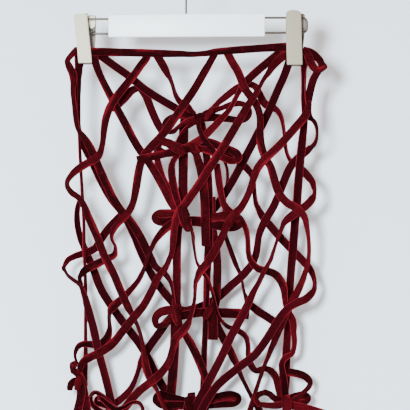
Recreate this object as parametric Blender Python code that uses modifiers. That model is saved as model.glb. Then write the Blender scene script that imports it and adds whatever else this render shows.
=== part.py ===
"""Open net skirt of velvet ribbon, knotted and tied with bows, hanging from a clip hanger.

Metres, +Z up, the front faces -Y. The origin is the inner top of the hanger's hook.
The net is drawn on a square grid whose pitch is GRID. Column CENTRE_COLUMN runs down through
the hook and row HOOK_ROW lies on the origin, so a route is a short table of grid places.
Every ribbon is laid on the ones under it, front layer and back layer outwards from the
middle of the flat tube, so that crossings rest on each other and the tube stays open.
"""

import math
from collections import namedtuple

import bmesh
import bpy
import numpy as np
from mathutils import Matrix, Vector

OBJECT_NAME = "ribbon_skirt"

# Driving dimensions.
GRID = 0.00145  # pitch of the drafting grid
CENTRE_COLUMN = 186.0  # grid column of the hook and of the bar's middle
HOOK_ROW = -38.0  # grid row of the hook's inner top
RIBBON_WIDTH = 0.0122
RIBBON_WALL = 0.0010
WIDE_RIBBON = 0.0147  # the broad ribbon of the edges, tails and wide loops
LAY_GAP = 0.0003  # clearance between ribbons that lie on each other
SEAM_GAP = 0.0003
WOVEN_EDGES = 1.15  # the whole width that shows, over the width of the pile alone
WRAP_LENGTH = 0.024  # stretch over which a wrapped end comes in to the middle
SEAM_TRIM = 0.0005  # what a wrapped end gives up so that its two halves stay apart

# The flat tube: half of the space between its layers, at the waist and from TUBE_ROW down.
WAIST_HALF_GAP = 0.0026
TUBE_HALF_GAP = 0.0075
WAIST_ROW = 60.0
TUBE_ROW = 115.0

# How finely a route is cut into sections.
FINE_STEP = 0.0012
SECTION_LENGTH = 0.019  # longest stretch between two sections
SECTION_BEND = math.radians(27)
SECTION_TWIST = math.radians(40)
SAMPLES = 16  # places on each stretch of a route from which the sections are chosen
PLACES_ACROSS = 19  # places across a ribbon that the pile tests
DEEPEST_WALL = 3.2  # a wall seen nearly edge on counts as this many times its thickness

# The pile's height map, and the rectangle of the front that it covers.
CELL = 0.0010
MAP_LEFT, MAP_RIGHT = -0.20, 0.24
MAP_LOW, MAP_HIGH = -0.73, -0.05
EDGE_MARGIN = 0.0008  # reach past a ribbon's edge that the map keeps clear
SELF_CLEAR = 0.021  # length along a ribbon past which it can cross itself
SETTLE_ROUNDS = 4

VELVET = ("velvet_ribbon", (0.115, 0.008, 0.017, 1.0), 0.75, 0.0)
WHITE_PLASTIC = ("white_plastic", (0.78, 0.79, 0.79, 1.0), 0.35, 0.0)
GREY_PLASTIC = ("grey_plastic", (0.62, 0.61, 0.58, 1.0), 0.4, 0.0)
WIRE_METAL = ("wire_metal", (0.42, 0.39, 0.35, 1.0), 0.3, 1.0)

# A ribbon's rows are (across, down, shown). Across and down are grid places, and shown is
# the width of pile that faces the front, in grid steps. Where a ribbon shows less than its width it
# turns towards its edge and folds lengthwise, by equal shares.
# wraps names the end that runs round the side of the tube to its other layer, and press is
# how much further in, in metres, a ribbon is pulled than the clearance round it asks for.
Ribbon = namedtuple("Ribbon", "name rows width wraps press", defaults=(RIBBON_WIDTH, "", 0.0))

# Nearest the middle of the tube first. The order says which ribbon passes over which.
FRONT = [
    Ribbon("right_opening_edge", [
        (212, 196, 5), (212, 212, 5), (213, 229, 6), (215.5, 245, 7), (217, 262, 8), (217, 280, 8), (216, 298, 8), (214, 310, 8),
        (216, 322, 7), (221, 333, 7), (231, 352, 7), (240, 372, 4), (252, 396, 4), (258, 407, 6),
        (263, 421, 7), (266, 438, 7)]),
    Ribbon("middle_edge", [
        (199, 116, 7), (201.5, 125, 7), (204.5, 140, 6.6), (208, 170, 6), (209.5, 200, 6), (209.5, 230, 6),
        (208, 252, 7), (207, 275, 6), (206, 318, 5), (204.5, 350, 5), (204, 372, 5), (203.5, 390, 6),
        (205, 412, 7), (207, 436, 7)]),
    Ribbon("left_opening_edge", [
        (186, 112, 7), (184, 124, 8), (183.5, 145, 8), (183, 175, 8), (182.5, 198, 8), (179.5, 214, 8),
        (177, 235, 7.5), (176.5, 262, 7), (176.5, 290, 7), (175.5, 318, 8), (174.5, 345, 8),
        (172.5, 375, 8), (170.5, 398, 8), (168.5, 416, 8), (167, 438, 8)], WIDE_RIBBON),
    Ribbon("slant_inner", [
        (157, 146, 5), (157.5, 156, 5), (159, 166, 6), (163, 178, 6), (170, 191, 6), (178, 204, 5),
        (187, 213, 5)]),
    Ribbon("slant_left", [
        (92, 51, 7.3), (95, 60, 7), (98, 70, 6), (102, 79, 6), (106.5, 88, 6), (111.5, 97, 7),
        (117, 108, 7), (126, 124.5, 7), (137, 145, 7), (151, 165, 7), (163, 186, 7), (172, 203, 7),
        (181, 214, 6)]),
    Ribbon("slant_top", [
        (156, 53, 8), (163.5, 66, 7), (168, 74, 5), (171.5, 83, 3.2), (175, 94, 4), (180, 101, 5),
        (187, 106, 6), (193, 113, 4), (196.5, 121, 3.2), (199, 130, 3.2), (203, 140, 3.2),
        (209, 148, 4), (216, 155, 5)]),
    Ribbon("left_fall", [
        (84, 50, 7.3), (77, 49.5, 6), (71.5, 54.3, 5), (67.2, 60.8, 4.8), (69.8, 67, 6.4), (72.6, 73, 7), (73.6, 80, 6),
        (73, 88, 4.6), (74, 97, 4), (75, 107, 4.2), (76, 118, 4.5), (78.5, 128, 4), (82, 134, 4.5),
        (90, 146, 7), (97, 162, 7), (105, 180, 7), (114, 199, 7.3), (122, 211, 7.3), (131, 221, 7),
        (142, 239, 7.3), (150, 256, 7), (156, 266.5, 5.5), (164.5, 273, 5), (171, 281, 3.6),
        (174, 296, 2.6), (175.5, 308, 2.6), (178.5, 320, 2.8), (184, 331, 5), (191, 343, 7.3),
        (199, 360, 7.3), (205, 376, 7), (208, 388, 6)]),
    Ribbon("right_fall", [
        (217, 163, 5), (218.5, 178, 6), (220.5, 190, 5.5), (222.5, 199, 5), (226, 207, 6),
        (233, 213.5, 6), (241, 219, 5), (245.5, 228, 4), (247.5, 240, 3.5), (248, 251, 4),
        (251, 260, 5), (258, 267.5, 6), (267, 270, 6.5), (275, 273.5, 7), (281, 281, 7),
        (284, 291, 5.5), (285, 303, 4), (288.5, 311, 5), (292.5, 320, 6), (293.5, 332, 4.5),
        (293.8, 344, 3.4), (291.5, 352, 3.6), (285, 356.5, 4.4), (281.5, 362, 4.4),
        (282.3, 370, 5.4), (283.5, 381, 6.6), (284.5, 393, 7)]),
    Ribbon("bow_1_loops", [
        (174, 149, 5), (177, 142, 4), (180.5, 134.5, 3), (185.5, 128, 3), (192.5, 123.5, 3.6),
        (199, 119, 5), (206, 114, 6), (214, 110.5, 5), (224, 106.5, 4), (233, 104, 5),
        (241, 103.5, 4.5), (247, 107, 4.5), (248.5, 113, 5), (244.5, 118.5, 5), (236, 119.3, 5.5),
        (226, 118, 6), (216, 117.2, 6.5), (206, 118, 6.6), (197, 117.5, 6), (188, 116, 5.6),
        (179, 115.5, 5.5), (170.5, 117.5, 5.4), (165, 122.7, 5.2), (166.2, 130, 5.4), (172.6, 131, 4.4),
        (178.5, 126, 3.2), (186, 121.8, 4), (195, 119.5, 4.6)]),
    Ribbon("bow_2_loops", [
        (188, 149.5, 7), (178, 147, 7.3), (168, 142.5, 7.3), (160.8, 142.5, 6), (159, 148, 5.5),
        (165, 152.5, 6), (176, 151.5, 7), (188, 147, 7), (198, 143.5, 7), (209, 142, 7),
        (219, 145.8, 7.3), (229, 149.4, 7.3), (236.6, 153, 6.8), (238.6, 158.4, 5.8), (232, 160.4, 6),
        (223.4, 158, 6), (214, 153, 6), (204, 149.5, 5.6), (194, 149, 5.4), (185, 150.8, 5),
        (177.3, 156, 4.4), (172.4, 164, 5.4), (172, 175, 6.6), (174, 186, 6.4), (177, 197, 5.6),
        (180, 206, 5)]),
    Ribbon("bow_3_loops", [
        (189, 217, 7.3), (178, 213.5, 7.3), (167, 212.6, 7.3), (158, 213, 6.6), (154.6, 217.3, 6.4),
        (159, 221, 6.6), (170, 220.8, 7.3), (184, 220.4, 8), (198, 220.6, 8.8), (212, 223, 8.8),
        (224, 225.4, 8.2), (234.5, 225.5, 8), (240.5, 220.5, 7), (235, 215.5, 7), (224, 215, 7.3),
        (211, 217, 7)], WIDE_RIBBON),
    Ribbon("bow_3_tail", [
        (180, 219, 6), (172, 223, 7), (164, 229.5, 6.5), (157, 238, 5), (151, 248, 4), (147, 259, 3),
        (143, 270, 4), (137.5, 281, 4.5), (130, 290, 5), (122, 298, 6.5), (114.5, 304.5, 7.3),
        (109.5, 312, 4), (109, 321, 3.4), (110, 329, 5), (106.5, 338, 7), (99, 343.5, 6.5),
        (90, 343.2, 5.5), (82, 343.5, 5), (76.5, 348, 4), (75, 355, 2.6), (77.5, 363, 3)]),
    Ribbon("slant_middle", [
        (214.5, 53, 6), (208.5, 64, 6), (204, 72, 7), (200, 79, 7), (195.5, 87, 7), (186.5, 101, 7.3),
        (175, 118, 7.3), (163, 134, 7.3), (149, 149, 7.3), (142.5, 158, 7.3), (139, 170, 7.3),
        (137, 182, 7.3), (134.5, 196, 6), (131.5, 206, 6), (126, 214.5, 6), (119, 221.5, 5.5),
        (113.5, 229, 5), (112.5, 238, 3), (116, 246, 3), (114.5, 253.5, 5), (106, 258.5, 6.5),
        (95, 264, 7), (85, 269.5, 6.5), (80.5, 276, 4), (82.5, 284, 3)]),
    Ribbon("clip_slant", [
        (287, 49, 7.3), (277, 54, 6.6), (266, 63, 7), (256, 71.5, 7), (248, 79, 7), (241.5, 87, 5),
        (236, 96.5, 3.5), (230.5, 107, 3.5), (224, 116, 5), (216, 124.5, 6), (207, 133.5, 6.5),
        (198, 141, 7), (189, 146.5, 7), (184, 151.5, 6)], press=0.0004),
    Ribbon("bow_2_tail", [
        (137.5, 160, 6.6), (148, 157.5, 6.4), (160, 155, 6.2), (172, 152.3, 6), (184, 149.8, 5.4),
        (191, 149.4, 4.8), (195.6, 153.5, 5.2), (198, 161, 6.8), (201, 171, 7.3), (203, 185, 7.3), (204.5, 205, 7.3),
        (205, 225, 7.3), (205.5, 245.5, 7.3)], WIDE_RIBBON),
    Ribbon("bow_4_loops", [
        (192, 311.5, 7.3), (181, 309, 7.3), (169, 308.5, 7.3), (159.5, 311.5, 7), (154.8, 318, 6),
        (157, 324.6, 5.2), (164.5, 322.5, 5.6), (176, 316, 6.8), (190, 312.5, 7.3), (204, 311, 7.3),
        (218, 311.3, 8), (232, 312, 8.6), (242, 312.6, 8.6), (249, 313.5, 8.2)], WIDE_RIBBON),
    Ribbon("bow_4_tail", [
        (210.5, 306, 6), (212.2, 316, 8.2), (212.8, 327, 8.8), (212.8, 338.5, 8.8)], WIDE_RIBBON),
    Ribbon("middle_hem_loops", [
        (196, 401, 7.3), (184, 399.5, 7.3), (170, 396, 7.3), (159.5, 393.5, 7), (155.8, 398, 6.4),
        (161, 402.6, 7), (172, 403, 7.3), (185, 403.5, 7.3), (199, 404, 7.3), (212, 402.5, 7.6),
        (225, 401.5, 8), (235, 400.5, 7.6), (237.6, 396.5, 7), (231, 393.6, 7.3), (219, 395, 7.3),
        (206, 398, 7)], WIDE_RIBBON),
    Ribbon("middle_hem_knot", [
        (191.5, 391, 6), (190.5, 397, 8.2), (188.5, 404, 8.2), (187, 412, 7)], WIDE_RIBBON),
    Ribbon("slant_lower", [
        (190, 217, 2.6), (192.3, 232, 2), (194.3, 247, 1.9), (196.8, 260, 2.2), (202, 270, 3.6),
        (208, 278, 3), (212, 289, 2.8), (215, 301, 2.8), (218, 312, 2.8), (222.5, 320, 3),
        (230, 326.5, 4.5), (239, 330.5, 5), (245.5, 336, 4.5), (248, 345, 4), (248, 355, 4.5),
        (250.5, 364, 5.5), (256, 370, 5), (263, 367.5, 5), (270, 369.5, 6), (275.5, 377, 6),
        (277.5, 388, 5), (280, 398, 4)]),
    Ribbon("fall_to_middle_hem", [
        (314.5, 191, 2.2), (312, 198, 6), (306, 204.5, 7), (298, 210.5, 7.3), (290, 216, 7),
        (283, 223.5, 4.5), (278, 235, 2.8), (274, 246, 2.8), (269.5, 259, 3.4), (263, 271, 4),
        (256, 286, 4.5), (250, 298, 6), (241, 316, 7.3), (231, 334.5, 7.3), (221, 356, 7.3),
        (212, 373, 7.3), (203, 389, 7.3), (196, 403, 7), (189, 420, 7), (184, 440, 7)],
        RIBBON_WIDTH, "start"),
    Ribbon("long_right", [
        (227, 52, 7.3), (232, 61.5, 7.3), (236.5, 69, 7.3), (240, 77, 7), (243.5, 87, 7),
        (249.5, 96, 6.5), (256, 105, 6), (259.3, 116, 5.5), (259.5, 130, 6), (261, 146, 7),
        (265, 157, 6.5), (270, 166, 6.5), (274, 179, 7.3), (278.5, 192, 7.3), (286, 201.5, 7.3),
        (295, 207, 7), (302.5, 214.5, 6), (306.5, 227, 3.4), (308.5, 245, 2.2), (307.5, 262, 3),
        (303, 276, 4.5), (297, 290, 6), (289.5, 303, 6), (284, 315, 6), (279, 327, 6), (274, 339, 5.2),
        (268.5, 353, 3), (262, 369, 2.4), (257, 384, 2.4), (252.5, 399, 3.4), (248, 414, 5.5),
        (244, 434, 6.5)]),
    Ribbon("cross_left", [
        (148, 53, 7), (146, 58, 7), (141, 64.5, 7), (133, 76, 7), (124, 87, 7), (115, 99, 7),
        (109, 109.5, 7), (105.5, 121, 6.5), (103.5, 134, 5.5), (102, 146, 4.8), (98, 156.5, 6.5),
        (88, 162.5, 7), (77, 169.5, 6.5), (69.5, 177, 4.5), (67.5, 184, 3.4), (71, 191.5, 5),
        (79, 197.5, 5), (84, 205, 5.5), (89.5, 218, 7), (97, 235, 7), (105, 255.5, 7), (112.5, 270, 7),
        (119, 285, 7), (126, 301, 7), (131.5, 313, 5), (137.5, 324, 2.6), (141.5, 336, 2.4),
        (144, 350, 3.4), (145.5, 363, 6.5), (149.5, 376, 6.5), (156, 386, 3), (161.5, 397, 2.6),
        (166, 408, 3.4), (171, 421, 6), (175, 437, 7)]),
    Ribbon("left_return", [
        (63.5, 267, 2.2), (66.5, 273.5, 3), (73, 279, 3.4), (80, 284, 3.8), (84.5, 292, 5),
        (87.5, 304, 6.5), (91, 317, 7), (95, 332, 7.3), (98, 346, 7), (102.5, 364, 7), (107, 382, 7),
        (111, 399, 7), (115, 420, 7), (118, 440, 7)], RIBBON_WIDTH, "start"),
    Ribbon("cross_right", [
        (306, 112, 6), (303, 117.5, 7.3), (297, 124.5, 7.3), (288, 135, 7.3), (275, 149, 7.3),
        (263, 160, 7.3), (256, 170, 6.5), (251.5, 183, 5.6), (247.5, 194, 5.6), (241, 206, 6),
        (233, 215, 7), (226, 226, 6), (221, 237, 6), (215, 249, 7), (206.5, 262.5, 7.3),
        (199.5, 271, 6.5), (196, 281, 4), (195.2, 294, 3), (193.5, 306, 3.4), (190, 317, 4.2),
        (184, 328, 7), (176.5, 336.5, 7), (172.5, 347, 5.6), (168.5, 360.5, 6), (161, 371.5, 7),
        (151, 380, 7.3), (140, 389, 7.3), (130, 400, 7.3), (120, 414, 7.3), (109, 432, 7)]),
    Ribbon("front_return", [
        (314.5, 282, 2.4), (313, 290, 5), (306.5, 296.5, 6.5), (297, 301, 6.5), (288.5, 306, 6),
        (281, 314, 7), (272.5, 327.5, 7.3), (264, 341, 7.3), (254, 353.5, 7.3), (242, 363, 7.3),
        (229, 373, 7.3), (217, 383, 6.6), (208, 395, 6.6), (201, 409, 6.6), (195, 434, 7)],
        RIBBON_WIDTH, "start"),
    Ribbon("cross_long", [
        (287, 53, 7.3), (280, 58.5, 7), (272, 66.5, 6), (266, 75.5, 4.4), (261, 84, 3.4),
        (254.5, 94.5, 5), (247, 106, 6), (238, 121.5, 7), (226, 142, 7.3), (213, 162, 7.3),
        (200, 182, 7.3), (187, 201, 7.3), (179, 212, 7.3), (175, 223, 6), (173.5, 236, 6),
        (171.5, 252, 4.6), (165, 267, 5), (157.5, 277, 6), (151.5, 290, 6.5), (143.5, 304.5, 7),
        (134, 316, 7.3), (122, 331, 7.3), (112, 343, 7.3), (101, 350.5, 7.3), (91, 355.5, 7),
        (83, 361, 6), (80, 369, 5), (82, 380, 6)]),
    Ribbon("bow_3_knot", [
        (181.5, 205, 6), (183, 212, 8.6), (186, 222, 8.6), (189.5, 230, 6.5)], WIDE_RIBBON, press=0.0008),
    Ribbon("bow_4_knot", [
        (178, 303, 6), (176.5, 309, 7.3), (177, 317, 7.3), (179, 323, 6)], WIDE_RIBBON),
    Ribbon("left_hem_knot", [
        (78, 361.5, 4.5), (73.2, 363.6, 5.2), (74, 369, 5.8), (78.5, 373, 6.4), (82, 380, 7), (84, 391, 7.3), (86, 404, 7.3),
        (90, 420, 7.3), (93, 438, 7.3)], WIDE_RIBBON),
    Ribbon("left_hem_tail", [
        (70, 389, 3.2), (71.2, 383.6, 5.4), (76, 380, 6.6), (80.6, 383.5, 7), (81, 395, 7.3),
        (77.5, 410, 7.3), (74, 424, 7.3), (72, 440, 7.3)], WIDE_RIBBON),
    Ribbon("left_hem_loop", [
        (114, 408, 6), (107.5, 400, 4.6), (101.5, 393.6, 3.2), (95.5, 390.8, 2.8), (91.6, 394, 2.8),
        (92, 400.5, 3.4), (97, 406.5, 4.8), (104.5, 410.8, 5.5), (112, 412.5, 5.5), (117.5, 409, 4.6),
        (111, 404.8, 5), (103.5, 402.5, 4.4), (97, 399.6, 3.4), (98.6, 395.4, 3.2), (104, 397.6, 4),
        (110, 402, 5), (117, 406.5, 5), (124.5, 405.6, 3.6), (132.5, 401, 2.8), (139, 401.4, 2.6),
        (142.6, 407, 2.6), (142, 416, 3.2), (138, 428, 4.5)]),
    Ribbon("right_hem_loops", [
        (289, 402.5, 6), (297, 402.3, 6), (304.5, 400.5, 6), (307.3, 396.5, 6.2), (302, 393.8, 6.8),
        (294.5, 395.2, 7), (285, 398.6, 6), (276, 397.5, 5), (268, 391.8, 4.5), (260, 391, 4), (255.5, 396, 3.5),
        (259, 402, 4.5), (269, 403.5, 5.5), (280, 402.5, 6.2), (290, 399, 4.4), (298.5, 393, 3.4),
        (306, 387.5, 3.6), (309.8, 381.5, 5), (305.5, 375.6, 6), (297, 372, 6.4), (287, 370.5, 6.4)]),
    Ribbon("right_hem_tail", [
        (282, 401, 7.3), (293, 403.5, 7.3), (306, 407, 7.3), (320, 411.5, 7.3), (334, 416, 7.3)],
        WIDE_RIBBON),
    Ribbon("right_hem_knot", [
        (284, 392, 6), (285, 398, 7.3), (285.5, 405, 7.3), (285, 416, 7.3), (283, 440, 7.3)],
        WIDE_RIBBON),
    Ribbon("waist_front", [
        (75.5, 51, 7.3), (84, 51.3, 7.3), (92, 51.6, 7.2), (102, 51.5, 6.3), (140, 52.6, 6.2),
        (170, 53.6, 5.6), (190, 53.8, 4), (202, 53.4, 3.2), (214, 52, 4.8), (245, 49.2, 6),
        (275, 47.2, 6.3), (286, 46.6, 7.2), (296, 46.2, 7.3), (305.5, 45.8, 7.3)]),
]

BACK = [
    Ribbon("right_side", [
        (303.5, 58, 8.8), (304, 66, 5.5), (304, 80, 3.6), (304, 98, 4), (305, 112, 5), (304, 124, 6),
        (302.5, 138, 7), (300.5, 158, 7.3), (298.5, 180, 7.3), (297, 203, 7.3), (295, 222, 7.3), (293, 248, 7.3),
        (291, 270, 7), (289.5, 292, 6.4), (288, 315, 6), (287, 338, 6.4), (286, 360, 7.3),
        (285.5, 380, 7.3), (284, 398, 7.3)], WIDE_RIBBON),
    Ribbon("left_side", [
        (79, 56, 8.8), (79, 62, 8), (78.6, 70, 4), (78.2, 80, 3), (77.8, 105, 2.6), (78, 133, 2.4),
        (79.5, 165, 2.4), (81, 192, 2.4), (82.5, 220, 2.4), (83.2, 250, 2.6), (84.5, 287, 2.8), (84.5, 330, 2.8), (84.5, 357, 3.4),
        (84, 380, 5)]),
    Ribbon("back_slant_left", [
        (98, 53, 7), (102, 56, 7), (115, 65.5, 7), (128.5, 75, 7), (145, 88.5, 7), (161, 98.7, 7),
        (177, 108, 7), (190, 116, 6)]),
    Ribbon("back_slant_right", [
        (290, 58, 7.3), (284.5, 74, 7), (276.5, 92, 7), (269, 110, 7), (256, 136, 7), (245, 157, 7),
        (233, 179, 7), (222, 197, 7), (213, 209, 7), (205, 216, 6)]),
    Ribbon("back_cross_long", [
        (303, 49.5, 7.3), (310.5, 51.4, 7.3), (316.8, 56, 7), (321.4, 61.6, 6), (321.4, 66.4, 5.4), (318, 70.8, 6), (314, 77.5, 6.6),
        (311, 89, 7), (309, 102, 6), (310, 114, 5.5), (315, 122, 4), (317, 131, 2.8), (315.5, 140.5, 3.5),
        (310, 148, 5.5), (301, 155, 7), (292, 164, 7.3), (285.5, 177, 7.3), (280, 191, 7),
        (272.5, 208, 7), (264, 222, 7), (259, 236, 5.6), (257, 250, 6), (253.5, 261, 6.4),
        (244, 273.5, 7.3), (230, 286, 7.3), (215, 299, 7), (200, 306, 6), (184, 311, 6), (170, 318, 6.4),
        (160, 331, 7.3), (148, 348, 7), (141, 361, 5), (136.5, 374, 4), (131, 388, 5), (121, 399, 6),
        (110, 408, 6), (104, 424, 6.5)]),
    Ribbon("back_left_turn", [
        (123, 211.5, 6), (116, 219, 6.4), (108, 228, 6.8), (100.5, 238.5, 7), (95, 247, 6.4),
        (86, 252, 6.4), (75, 255, 5.4), (67, 260, 4), (63.5, 267, 2.2)], RIBBON_WIDTH, "end"),
    Ribbon("back_top_loop", [
        (201, 120, 3), (206, 112.5, 3), (211, 108, 3), (218, 102, 4.5), (226, 95.5, 6), (238, 86.5, 6),
        (247, 83.5, 5.5), (255, 85.5, 6), (259.5, 93, 6), (265, 102.5, 7), (274, 107, 6),
        (280, 113, 4), (283, 122, 2.6), (285, 137, 2.6), (287, 151, 2.6), (291, 159.5, 3),
        (299, 165.5, 5), (307, 173.5, 7), (312.5, 182, 5.5), (314.5, 191, 2.2)], RIBBON_WIDTH, "end"),
    Ribbon("back_left_fall", [
        (79, 50, 7.3), (78, 55.5, 7.2), (78, 61, 7), (78, 68, 6.5), (76.8, 78, 6), (76.5, 87, 6), (76, 103, 4.6), (76.5, 120, 4.4),
        (79.5, 135, 2.8),
        (83, 147, 3.6), (90, 160, 5), (99, 178, 6), (110, 198, 6), (122, 215, 4), (130, 230, 3.6),
        (138, 247, 6), (146, 265, 5.6), (154, 278.5, 7), (163, 291, 7.3), (173, 303, 7.3),
        (184, 316, 7)]),
    Ribbon("back_right_turn", [
        (222, 151, 6), (231, 156, 6), (240, 161.5, 6), (248, 169, 6), (253, 178, 4), (254.5, 191, 2.8),
        (256.5, 204, 4), (262, 215, 6.4), (272, 227, 7.3), (286, 243, 7), (299, 256, 7), (308, 266, 6.4),
        (313, 275, 4.5), (314.5, 282, 2.4)], RIBBON_WIDTH, "end"),
    Ribbon("back_thin_fall", [
        (221, 155, 2.6), (226, 166, 2.4), (227, 177, 2.4), (225, 193, 2.6), (223.5, 212, 3),
        (225, 234, 3.6), (230, 249, 4), (236, 265, 4), (241, 278, 2.6), (243.5, 291, 2.6),
        (248, 301.5, 5), (257, 310, 7), (270, 318.5, 7), (284, 328.5, 6.4)]),
    Ribbon("back_lower_slant", [
        (80, 196, 2.8), (77, 207, 3.6), (76, 219, 4.8), (79, 237, 5), (86, 255, 6), (93, 271, 6.6),
        (101, 290, 7), (111, 306, 7), (124, 324, 7.3), (137, 341, 7.3), (146, 356, 7), (155, 374, 7),
        (165, 391, 7), (173, 408, 7), (179, 430, 7)]),
    Ribbon("back_short_slant", [
        (113, 109, 5), (118.2, 103.6, 5.5), (125, 96.4, 7), (132, 89, 7), (138.6, 87.2, 5), (145, 94, 7),
        (150, 106, 7), (155, 118, 7), (163, 133, 7)]),
    Ribbon("waist_back", [
        (76.5, 51, 7.3), (84, 51, 7.3), (92, 51.3, 7.2), (102, 51.4, 6.3), (125, 52, 6), (160, 53, 5.8),
        (190, 53.5, 4.2), (202, 53, 3.4), (214, 51.8, 4.8), (245, 48.8, 6), (275, 46.9, 6.3),
        (286, 46.4, 7.2), (296, 46, 7.3), (304.5, 45.8, 7.3)]),
    Ribbon("right_top_fold", [
        (309.6, 51, 6.2), (310.3, 57, 6.6), (312.4, 62.5, 6.8), (315.6, 67.5, 6), (320.5, 70.5, 4)],
        press=0.0008),
]

# The hanger, in grid places, and its thicknesses in metres.
BAR_LEFT, BAR_RIGHT = 108.2, 264.4
BAR_TOP, BAR_BOTTOM = 13.2, 36.2
BAR_THICK = 0.0065
BAR_ROUND = 0.0012
PLATE_WIDTH = 14.6
PLATE_THICK = 0.0022
PLATE_ROUND = 0.0006
CLIP_JAW_ROW = 44.0  # the jaws grip from here down
HINGE_WIDTH = 0.0152
HINGE_ROUND = 0.0018
RAIL_RADIUS = 0.0011  # the clips ride on a hairpin of wire at each end of the bar
RAIL_BEND_STEPS = 12
# Each clip: its front plate's middle at the top and bottom, how far its back plate sits across
# from it, the middle of its hinge, and its rail's ends across and two runs down.
Clip = namedtuple(
    "Clip", "side top_across top_down bottom_across bottom_down back_across hinge_across "
    "rail_from rail_to rail_top rail_bottom")
CLIPS = [
    Clip("left", 80.6, 14.4, 85.4, 63.0, 2.6, 89.4, 107.9, 76.8, 18.3, 33.0),
    Clip("right", 292.8, 11.8, 294.2, 64.8, 3.4, 296.2, 264.7, 307.0, 17.0, 32.0),
]

# The hook: a wire bent to a ring that is open at one side.
WIRE_RADIUS = 0.00145
HOOK_RADIUS = 0.0205  # to the wire's middle
HOOK_START = math.radians(-52)  # where the stem's bend meets the ring
HOOK_END = math.radians(212)
HOOK_STEPS = 22
STEM_BEND_DROP = 0.013  # height of the bend between the stem and the ring
STEM_BEND_STEPS = 9
STEM_BEND_EASE = 0.55  # length of the bend's handles, as a share of its height


def place(across, down):
    """X and Z, in metres, of a place on the drafting grid."""
    return (across - CENTRE_COLUMN) * GRID, (HOOK_ROW - down) * GRID


def material(name, colour, roughness, metallic):
    made = bpy.data.materials.get(name) or bpy.data.materials.new(name)
    made.use_nodes = True
    shader = made.node_tree.nodes["Principled BSDF"]
    shader.inputs["Base Color"].default_value = colour
    shader.inputs["Roughness"].default_value = roughness
    shader.inputs["Metallic"].default_value = metallic
    return made


def add_object(name, data, collection, finish):
    made = bpy.data.objects.new(name, data)
    data.materials.append(material(*finish))
    collection.objects.link(made)
    return made


def half_gap(z):
    """Half of the space between the tube's layers at a height: narrow at the waist."""
    waist = place(0, WAIST_ROW)[1]
    full = place(0, TUBE_ROW)[1]
    share = np.clip((waist - z) / (waist - full), 0.0, 1.0)
    share = share * share * (3 - 2 * share)
    return WAIST_HALF_GAP + (TUBE_HALF_GAP - WAIST_HALF_GAP) * share


def spline(points, count):
    """A centripetal curve through the points, sampled `count` times on each stretch."""
    knots = np.concatenate([[0.0], np.cumsum(np.linalg.norm(np.diff(points[:, :2], axis=0), axis=1) ** 0.5)])
    padded = np.vstack([2 * points[0] - points[1], points, 2 * points[-1] - points[-2]])
    times = np.concatenate([[2 * knots[0] - knots[1]], knots, [2 * knots[-1] - knots[-2]]])
    samples = []
    for i in range(len(points) - 1):
        t0, t1, t2, t3 = times[i:i + 4]
        p0, p1, p2, p3 = padded[i:i + 4]
        for t in np.linspace(t1, t2, count, endpoint=False):
            a1 = (t1 - t) / (t1 - t0) * p0 + (t - t0) / (t1 - t0) * p1
            a2 = (t2 - t) / (t2 - t1) * p1 + (t - t1) / (t2 - t1) * p2
            a3 = (t3 - t) / (t3 - t2) * p2 + (t - t2) / (t3 - t2) * p3
            b1 = (t2 - t) / (t2 - t0) * a1 + (t - t0) / (t2 - t0) * a2
            b2 = (t3 - t) / (t3 - t1) * a2 + (t - t1) / (t3 - t1) * a3
            samples.append((t2 - t) / (t2 - t1) * b1 + (t - t1) / (t2 - t1) * b2)
    samples.append(points[-1])
    return np.array(samples)


def sections_of(ribbon):
    """The ribbon's sections: X, Z and turn, close together where it bends or twists."""
    rows = []
    for across, down, shown in ribbon.rows:
        share = math.sqrt(min(shown * WOVEN_EDGES * GRID / ribbon.width, 1.0))
        rows.append((*place(across, down), math.acos(share)))
    fine = spline(np.array(rows), SAMPLES)
    steps = np.diff(fine, axis=0)
    lengths = np.hypot(steps[:, 0], steps[:, 1])
    headings = np.unwrap(np.arctan2(steps[:, 1], steps[:, 0]))
    bends = np.abs(np.diff(headings, append=headings[-1]))
    cost = lengths / SECTION_LENGTH + bends / SECTION_BEND + np.abs(steps[:, 2]) / SECTION_TWIST
    along = np.concatenate([[0.0], np.cumsum(cost)])
    wanted = np.linspace(0.0, along[-1], max(int(math.ceil(along[-1])), 2) + 1)
    return np.stack([np.interp(wanted, along, fine[:, i]) for i in range(3)], axis=1)


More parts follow.
